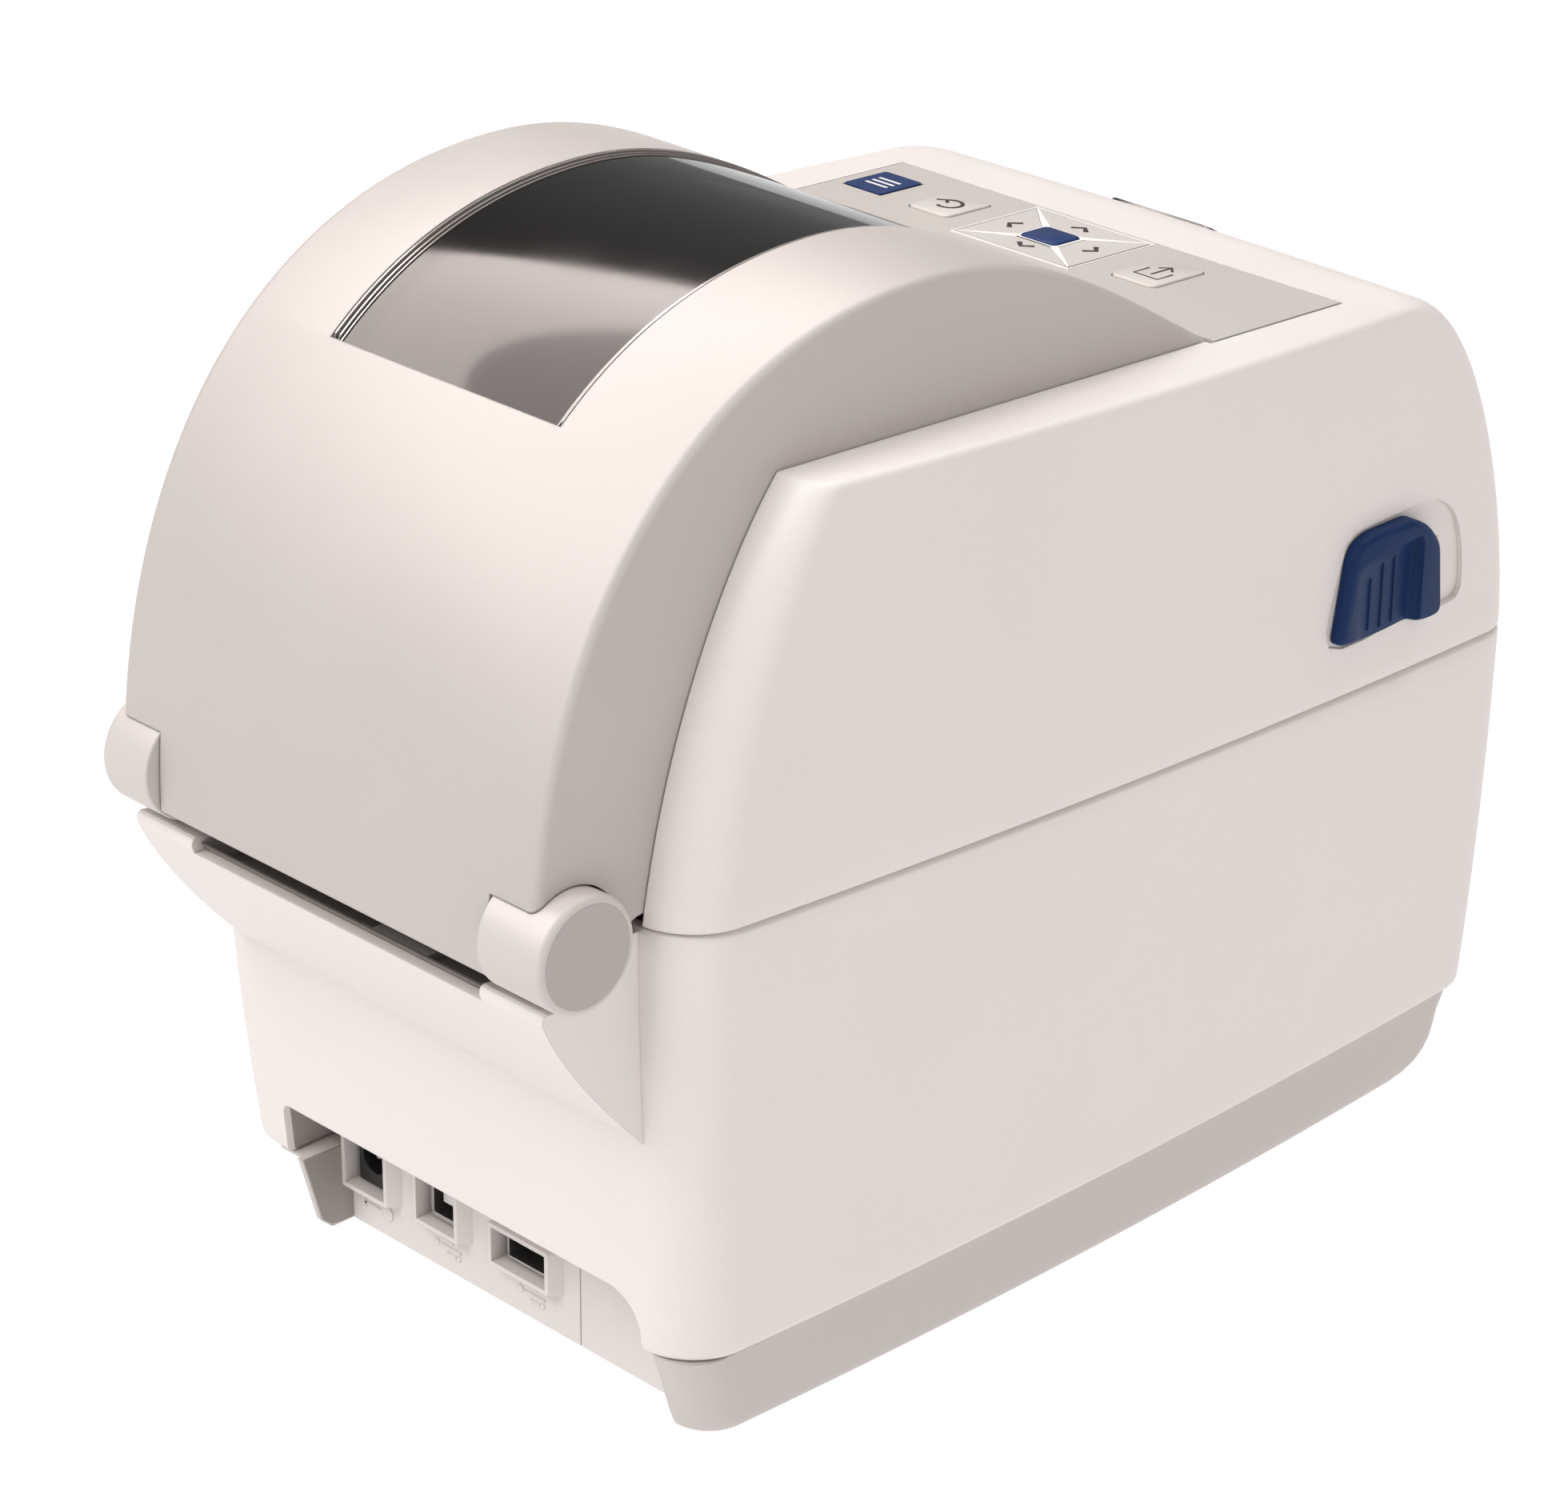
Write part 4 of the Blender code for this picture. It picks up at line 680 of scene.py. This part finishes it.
def make_latches():
    """Thumb latches with an eased face, a hollow with three ribs, and a hook inside the lid."""
    for side, word in ((-1, "left"), (1, "right")):
        rings = [[(side * (recess_floor(y) + GAP), y, z) for y, z in latch_outline(0.0)]]
        rings += [[(side * (LATCH_FACE - depth), y, z) for y, z in latch_outline(shrink)]
                  for depth, shrink in ((1.5, 0.0), (0.75, 0.3), (0.15, 1.0), (0.0, 1.7))]
        body = loft("release_latch_" + word, rings)
        hollow = ((120.0, 0.0), (148.0, 0.0), (150.4, 0.7), (151.9, 2.2), (152.3, 4.5))
        cut(body, loft("t_scoop", [[(side * (x + dx), y, z) for x, y in THUMB_FLOOR] for z, dx in hollow]))
        for y, x, low, high in LATCH_RIBS:
            ends = ((low, 0.2, -0.2), (low + 0.8, 0.3, 0.42), (high - 0.8, 0.3, 0.42), (high, 0.2, -0.2))
            join(body, loft("t_rib", [[(side * u, v, z) for u, v in rect(x - 0.8, y - w, x + h, y + w)]
                                      for z, w, h in ends]))
        ease(body, 0.45, 3, 40)
        place(body, "latch_" + word, "blue", BLUE, "latch_" + word)
        hook = side_box("latch_hook_" + word, side, (74.0, 79.5), (-104.0, -88.5), (139.5, 146.5))
        place(hook, "latch_" + word, "blue", BLUE)


# ---- control panel -------------------------------------------------------------------------------
KEYS = {"button_feed": (-34.2, -80.5, -21.5, -62.5), "button_reset": (29.6, -79.6, 42.0, -64.0),
        "button_select": (-0.6, -76.6, 10.2, -67.4)}
PAD = (-12.4, -86.0, 21.6, -59.0)
PAD_GAP, PAD_RING = 0.5, 0.9
BADGE = (51.4, -79.0, 63.2, -65.0)


def pad_quarters():
    """Outlines of the four keys around the centre key."""
    x0, y0, x1, y1 = PAD
    a0, b0, a1, b1 = KEYS["button_select"]
    g, ring = PAD_GAP, PAD_RING
    return {"nav_left": [(x0, y0 + g), (a0 - ring, b0 + g), (a0 - ring, b1 - g), (x0, y1 - g)],
            "nav_right": [(x1, y1 - g), (a1 + ring, b1 - g), (a1 + ring, b0 + g), (x1, y0 + g)],
            "nav_up": [(x0 + g, y1), (a0 + g, b1 + ring), (a1 - g, b1 + ring), (x1 - g, y1)],
            "nav_down": [(x1 - g, y0), (a1 - g, b0 - ring), (a0 + g, b0 - ring), (x0 + g, y0)]}


def lines(name, strokes, rise, thick, body, slot, mat):
    """Printed or raised lines on the sloping top: strokes are (points, width, closed)."""
    bm = bmesh.new()
    for points, width, closed in strokes:
        count = len(points)
        sides = []
        for i, p in enumerate(points):
            before = points[i - 1] if closed or i else p
            after = points[(i + 1) % count] if closed or i < count - 1 else p
            along = (Vector(after) - Vector(before)).normalized()
            across = Vector((-along.y, along.x)) * width / 2
            sides.append((Vector(p) + across, Vector(p) - across))
        rows = [[bm.verts.new((v.x, v.y, top_z(v.y) + r)) for v, r in
                 ((a, rise), (a, rise + thick), (b, rise + thick), (b, rise))] for a, b in sides]
        for i in range(count if closed else count - 1):
            one, two = rows[i], rows[(i + 1) % count]
            for k in range(4):
                bm.faces.new((one[k], one[(k + 1) % 4], two[(k + 1) % 4], two[k]))
        if not closed:
            bm.faces.new(rows[0])
            bm.faces.new(list(reversed(rows[-1])))
    return place(finish(name, bm), body, slot, mat)


def arc(cx, cy, radius, start, end, steps=16):
    """Points along an arc, in degrees."""
    angles = [math.radians(start + (end - start) * i / steps) for i in range(steps + 1)]
    return [(cx + radius * math.cos(a), cy + radius * math.sin(a)) for a in angles]


def key(name, outline, low, high, body, slot, mat):
    """A key with an eased top edge."""
    mid = Vector((sum(p[0] for p in outline), sum(p[1] for p in outline))) / len(outline)

    def shrunk(amount):
        ring = []
        for p in outline:
            d = Vector(p) - mid
            ring.append(tuple(mid + d * (1 - amount / max(d.length, 1e-6))))
        return ring

    rings = [(low, 0.0), (high - 0.45, 0.0), (high - 0.15, 0.12), (high, 0.45)]
    obj = loft(name, [[(x, y, top_z(y) + r) for x, y in shrunk(s)] for r, s in rings])
    return place(obj, body, slot, mat, body)


def make_panel():
    """Panel plate with its keys, the light ridges between them, their marks, the badge and the display."""
    plate = on_top("key_panel", rect(0.4 - PANEL_HALF, PANEL_FRONT_Y, PANEL_HALF, PANEL_REAR_Y), -1.7, 0.0)
    for name in ("button_feed", "button_reset"):
        x0, y0, x1, y1 = KEYS[name]
        cut(plate, on_top("t_key", rounded_rect(x0 - GAP, y0 - GAP, x1 + GAP, y1 + GAP, 2.0), -5.0, 5.0))
    x0, y0, x1, y1 = PAD
    cut(plate, on_top("t_pad", rect(x0 - GAP, y0 - GAP, x1 + GAP, y1 + GAP), -5.0, 5.0))
    x0, y0, x1, y1 = BADGE
    cut(plate, on_top("t_badge", rect(x0 - GAP, y0 - GAP, x1 + GAP, y1 + GAP), -0.8, 5.0))
    place(plate, "lid", "warm_grey", WARM, "control_panel")

    for name in ("button_feed", "button_reset"):
        x0, y0, x1, y1 = KEYS[name]
        key("key_" + name[7:], rounded_rect(x0, y0, x1, y1, 1.8), -2.2, 0.45, name, "warm_grey", KEY)
    x0, y0, x1, y1 = KEYS["button_select"]
    key("key_select", rounded_rect(x0, y0, x1, y1, 1.4), -2.2, 0.75, "button_select", "blue", BLUE_KEY)
    for name, outline in pad_quarters().items():
        piece = on_top("key_" + name, outline, -2.2, 0.2)
        place(piece, name, "warm_grey", KEY, name)
    x0, y0, x1, y1 = PAD
    a0, b0, a1, b1 = KEYS["button_select"]
    e = PAD_RING - 0.12
    ring = on_top("pad_ridges", rect(a0 - e, b0 - e, a1 + e, b1 + e), -2.0, 0.32)
    cut(ring, on_top("t_select", rounded_rect(a0 - 0.12, b0 - 0.12, a1 + 0.12, b1 + 0.12, 1.5), -5.0, 5.0))
    for sx, x, a in ((1, x0, a0), (-1, x1, a1)):
        for sy, y, b in ((1, y0, b0), (-1, y1, b1)):
            spoke = [(x + sx * 0.05, y + sy * 0.05), (x + sx * 0.05, y + sy * (PAD_GAP - 0.12)),
                     (a - sx * (PAD_RING + 0.1), b + sy * (PAD_GAP - 0.2)),
                     (a + sx * (PAD_GAP - 0.2), b - sy * (PAD_RING + 0.1)),
                     (x + sx * (PAD_GAP - 0.12), y + sy * 0.05)]
            if sx * sy < 0:
                spoke.reverse()
            join(ring, on_top("t_spoke", spoke, -2.0, 0.32))
    place(ring, "lid", "white", INK_WHITE)
    border = rect(x0 - 0.75, y0 - 0.75, x1 + 0.75, y1 + 0.75)
    lines("pad_border", [(border, 0.6, True)], -0.1, 0.3, "lid", "white", INK_WHITE)
    x, y = (PAD[0] + PAD[2]) / 2, (PAD[1] + PAD[3]) / 2
    marks = {"nav_left": ((-1, 0), (-12.3, 0)), "nav_right": ((1, 0), (12.3, 0)),
             "nav_up": ((0, 1), (0, 9.6)), "nav_down": ((0, -1), (0, -9.9))}
    for name, ((dx, dy), (ox, oy)) in marks.items():
        point = Vector((x + ox, y + oy))
        ahead, aside = Vector((dx, dy)), Vector((-dy, dx))
        chevron = [tuple(point - ahead * 1.2 + aside * 2.3), tuple(point + ahead * 0.9),
                   tuple(point - ahead * 1.2 - aside * 2.3)]
        lines(name + "_mark", [(chevron, 1.25, False)], 0.18, 0.06, name, "black", INK_BLACK)

    x, y = 35.8, -71.8
    turn = [(arc(x, y, 3.0, 60, 330), 0.95, False),
            ([(x + 4.4, y - 0.2), (x + 2.5, y - 1.7), (x + 0.9, y - 0.1)], 0.95, False)]
    lines("reset_mark", turn, 0.43, 0.06, "button_reset", "black", INK_BLACK)
    x, y = -27.9, -71.5
    page = [([(x - 3.4, y - 1.0), (x - 3.4, y + 4.2), (x + 3.4, y + 4.2), (x + 3.4, y - 1.0)], 0.65, False),
            ([(x, y + 2.4), (x, y - 4.4)], 0.65, False),
            ([(x - 2.0, y - 2.4), (x, y - 4.6), (x + 2.0, y - 2.4)], 0.65, False)]
    lines("feed_mark", page, 0.43, 0.06, "button_feed", "black", INK_BLACK)
    x0, y0, x1, y1 = BADGE
    plate = on_top("badge_plate", rounded_rect(x0, y0, x1, y1, 0.8), -0.5, 0.3)
    place(plate, "lid", "blue", BLUE_KEY, "badge")
    x, y = (x0 + x1) / 2, (y0 + y1) / 2
    mark = [([(x - 3.4, y + d), (x + 3.4, y + d)], 0.8, False) for d in (-2.2, 0.0, 2.2)]
    lines("badge_mark", mark, 0.28, 0.06, "lid", "white", INK_WHITE)
    glass = loft("lcd_pane", lcd_rings(rounded_rect(-17, -7, 17, 7, 4), -0.9, 0.95))
    place(glass, "lid", "black", LCD, "lcd_window")


# ---- sockets -------------------------------------------------------------------------------------
PORTS = (("dc_jack", 42.6, 11.6, 13.8, 15.0), ("usb_b_port", 18.5, 11.0, 14.7, 11.6),
         ("usb_a_port", -8.8, 15.7, 14.5, 7.8))


def make_ports():
    """Socket plate with three collars, raised marks, and the contacts inside the sockets."""
    back = PORT_PANEL_Y + 1.3
    outline = rounded_rect(PAN_RECESS_X[0] + GAP, PAN_Z + 0.2, PAN_RECESS_X[1] - GAP, PORT_ROOF_Z - GAP,
                           (0.5, 0.5, 8.0, 0.5))
    panel = prism_y("socket_plate", outline, back + 2.0, back)
    rim = 1.15
    for name, mid, width, low, height in PORTS:
        x0, x1, z0, z1 = mid - width / 2 - 0.3, mid + width / 2 + 1.3, low - 0.35, low + height + 0.35
        top = min(z1 + rim, PORT_ROOF_Z - GAP)
        near = rounded_rect(x0 - rim, z0 - rim, x1 + rim, top, 0.7, 3)
        wide = rounded_rect(x0 - rim - 1.9, z0 - rim, x1 + rim, top, 0.7, 3)
        collar = loft("t_collar", [[(x, y, z) for x, z in ring] for y, ring in
                                   ((back + 5.0, near), (back + 1.9, wide), (back, wide))])
        join(panel, collar)
        cut(panel, prism_y("t_hole", rect(x0, z0, x1, z1), back + 9.0, back - 3.0))
    cut(panel, box("t_seam", (-25.35, back + 1.5, 0.0), (-25.05, back + 5.0, 40.0)))
    ease(panel, 0.25, 2, 40)
    # the socket plate's lighter grey is painted light from the floor
    place(panel, "base", "light_grey", SOCKET_PAINTED_LIGHT, "port_panel")
    plane = back + 1.8
    icon = [prism_y("t_dot", circle(38.6, 8.6, 1.9, 20), plane, plane + 0.42),
            box("t_lead", (41.4, plane, 8.3), (46.4, plane + 0.42, 8.9)),
            box("t_pole", (45.8, plane, 7.6), (46.4, plane + 0.42, 9.6))]
    for x in (18.0, -9.6):
        icon += [box("t_stem", (x - 4.2, plane, 8.5), (x + 3.0, plane + 0.42, 9.1)),
                 box("t_prong", (x - 2.6, plane, 6.9), (x + 0.6, plane + 0.42, 7.5)),
                 box("t_prong", (x - 1.6, plane, 10.1), (x + 1.2, plane + 0.42, 10.7)),
                 prism_y("t_end", circle(x + 3.8, 8.8, 0.9, 16), plane, plane + 0.42),
                 prism_y("t_end", circle(x - 3.4, 7.2, 0.7, 16), plane, plane + 0.42)]
    place(join_all("socket_marks", icon), "base", "light_grey", SOCKET_PAINTED_LIGHT)
    # thin dark sheets on the post's inner face and the mouth's side wall: painted shade of the recess
    shade = [prism_x("t_post", [(97.5, 3.1), (104.5, 3.1), (106.8, 3.6), (108.9, 5.4), (113.8, 22.4),
                                (97.5, 22.4)], 50.72, 50.98),
             prism_x("t_side", [(97.0, 23.4), (112.6, 23.4), (113.6, 34.6), (97.0, 34.6)], 55.2, 55.46)]
    place(join_all("recess_painted_shade", shade), "base", "light_grey", SHADE)
    front = PORT_PANEL_Y + 1.6
    for word, first, pitch, wide, y0, y1, z0, z1 in (
            ("b", 16.8, 1.1, 0.6, front - 8.5, front + 0.4, 22.12, 22.3),
            ("a", -12.7, 2.3, 1.2, front - 9.0, front + 0.2, 18.5, 18.66)):
        for i in range(4):
            x = first + i * pitch
            contact = box("contact_%s_%d" % (word, i), (x, y0, z0), (x + wide, y1, z1))
            place(contact, "base", "steel", STEEL)
    pin = loft("jack_pin", [[(x, y, z) for x, z in circle(42.6, 21.3, r, 24)]
                            for y, r in ((front - 9.2, 1.1), (front + 0.2, 1.1), (front + 0.9, 0.5))])
    place(pin, "base", "steel", STEEL)


CAD_LOOKS = {
    "steel": STEEL, "black": BLACK, "nylon": NYLON, "rubber": RUBBER, "board": BOARD, "warm_grey": WARM,
    "light_grey": GREY, "white": WHITE, "blue": BLUE, "smoke": SMOKE,
}
NODE_LOOKS = {
    "platen_roller": ROLLER, "slot_clip": BARREL, "foot_rear_left": GREY, "foot_rear_right": GREY,
    "foot_front_left": GREY, "foot_front_right": GREY,
}


def dress_cad():
    """Finish for every CAD node that stays."""
    slots = {part["node"]: part["material_slot"] for part in frame["record"]["subparts"]}
    for name, node in frame["nodes"].items():
        node.data.materials.clear()
        node.data.materials.append(NODE_LOOKS.get(name, CAD_LOOKS[slots[name]]))


# ---- floor, light, camera ------------------------------------------------------------------------
FLOOR_HALF, FLOOR_ALBEDO, FLOOR_GLOW, WORLD_GLOW = 5000, 0.25, 0.88, 0.35
# the two strips lie in one plane: a point of it, and its directions along and across the reflection's edge
STRIP_ORIGIN = Vector((0.3657, 0.0, 0.5443))
STRIP_RUN = Vector((0.152, 0.9766, -0.152))
STRIP_SIDE = Vector((-0.6906, 0.2149, 0.6906))
STRIP_COLOUR = (1, 0.885, 0.85)


def area_light(name, place_at, aim, size, power, colour):
    """A rectangular soft light."""
    data = bpy.data.lights.new(name, "AREA")
    data.shape = "RECTANGLE"
    data.size, data.size_y = size
    data.energy = power
    data.color = colour
    obj = bpy.data.objects.new(name, data)
    obj.location = place_at
    obj.rotation_euler = (Vector(aim) - Vector(place_at)).to_track_quat("-Z", "Y").to_euler()
    bpy.context.scene.collection.objects.link(obj)
    return obj


def reflected_light(name, across, width, along, length, radiance):
    """A strip light that shows in reflections only."""
    middle = STRIP_ORIGIN + STRIP_RUN * along + STRIP_SIDE * across
    facing = STRIP_SIDE.cross(STRIP_RUN)
    power = radiance * math.pi * width * length
    light = area_light(name, middle, middle + facing, (length, width), power, STRIP_COLOUR)
    axes = Matrix((STRIP_RUN, STRIP_RUN.cross(facing), -facing)).transposed()
    light.matrix_world = Matrix.Translation(middle) @ axes.to_4x4()
    light.visible_diffuse = False


def make_stage():
    """Pale floor, even sky, three soft lights and the two strips."""
    bm = bmesh.new()
    bmesh.ops.create_grid(bm, x_segments=1, y_segments=1, size=FLOOR_HALF)
    floor = finish("floor", bm)
    floor.location.z = -0.0001
    mat = bpy.data.materials.new("floor_white")
    mat.use_nodes = True
    shader = mat.node_tree.nodes["Principled BSDF"]
    shader.inputs["Base Color"].default_value = (FLOOR_ALBEDO, FLOOR_ALBEDO, FLOOR_ALBEDO, 1)
    shader.inputs["Roughness"].default_value = 0.9
    shader.inputs["Specular IOR Level"].default_value = 0.1
    shader.inputs["Emission Color"].default_value = (1, 1, 1, 1)
    shader.inputs["Emission Strength"].default_value = FLOOR_GLOW
    floor.data.materials.append(mat)
    world = bpy.data.worlds.new("studio")
    world.use_nodes = True
    sky = world.node_tree.nodes["Background"]
    sky.inputs["Color"].default_value = (1.0, 1.0, 1.0, 1)
    sky.inputs["Strength"].default_value = WORLD_GLOW
    bpy.context.scene.world = world
    area_light("key", (0.2, 1.35, 1.75), (0, 0, 0.1), (1.4, 1.2), 32, (1, 0.995, 0.985))
    area_light("side", (-1.8, 0.2, 1.0), (0, 0, 0.1), (1.2, 1.2), 5.0, (1, 0.925, 0.93))
    area_light("front_top", (0.0, -0.9, 2.0), (0, 0, 0.15), (1.3, 1.1), 16.5, (1, 0.985, 0.985))
    reflected_light("window_near", 0.030, 0.064, 0.45, 1.45, 13.0)
    reflected_light("window_far", 0.215, 0.306, 0.45, 1.60, 6.4)
    scene = bpy.context.scene
    scene.view_settings.view_transform = "Standard"
    scene.view_settings.look = "None"


def make_camera():
    """A long lens behind the printer's left rear corner."""
    right = Vector((-0.7042, -0.7099, 0.0099)).normalized()
    ahead = Vector((0.6390, -0.6399, -0.4268))
    ahead = (ahead - right * ahead.dot(right)).normalized()
    up = right.cross(ahead)
    data = bpy.data.cameras.new("camera")
    camera = bpy.data.objects.new("camera", data)
    turn = Matrix((right, up, -ahead)).transposed()
    camera.matrix_world = Matrix.Translation((-0.6957, 0.7035, 0.5641)) @ turn.to_4x4()
    data.sensor_fit = "HORIZONTAL"
    data.sensor_width = 36.0
    data.lens = 112.29
    data.shift_x = -0.01717
    data.shift_y = 0.01355
    data.clip_end = 50
    bpy.context.scene.collection.objects.link(camera)
    bpy.context.scene.camera = camera


make_base()
make_pan()
make_lid()
make_arch()
make_window()
make_barrels()
make_latches()
make_panel()
make_ports()
dress_cad()
make_stage()
make_camera()
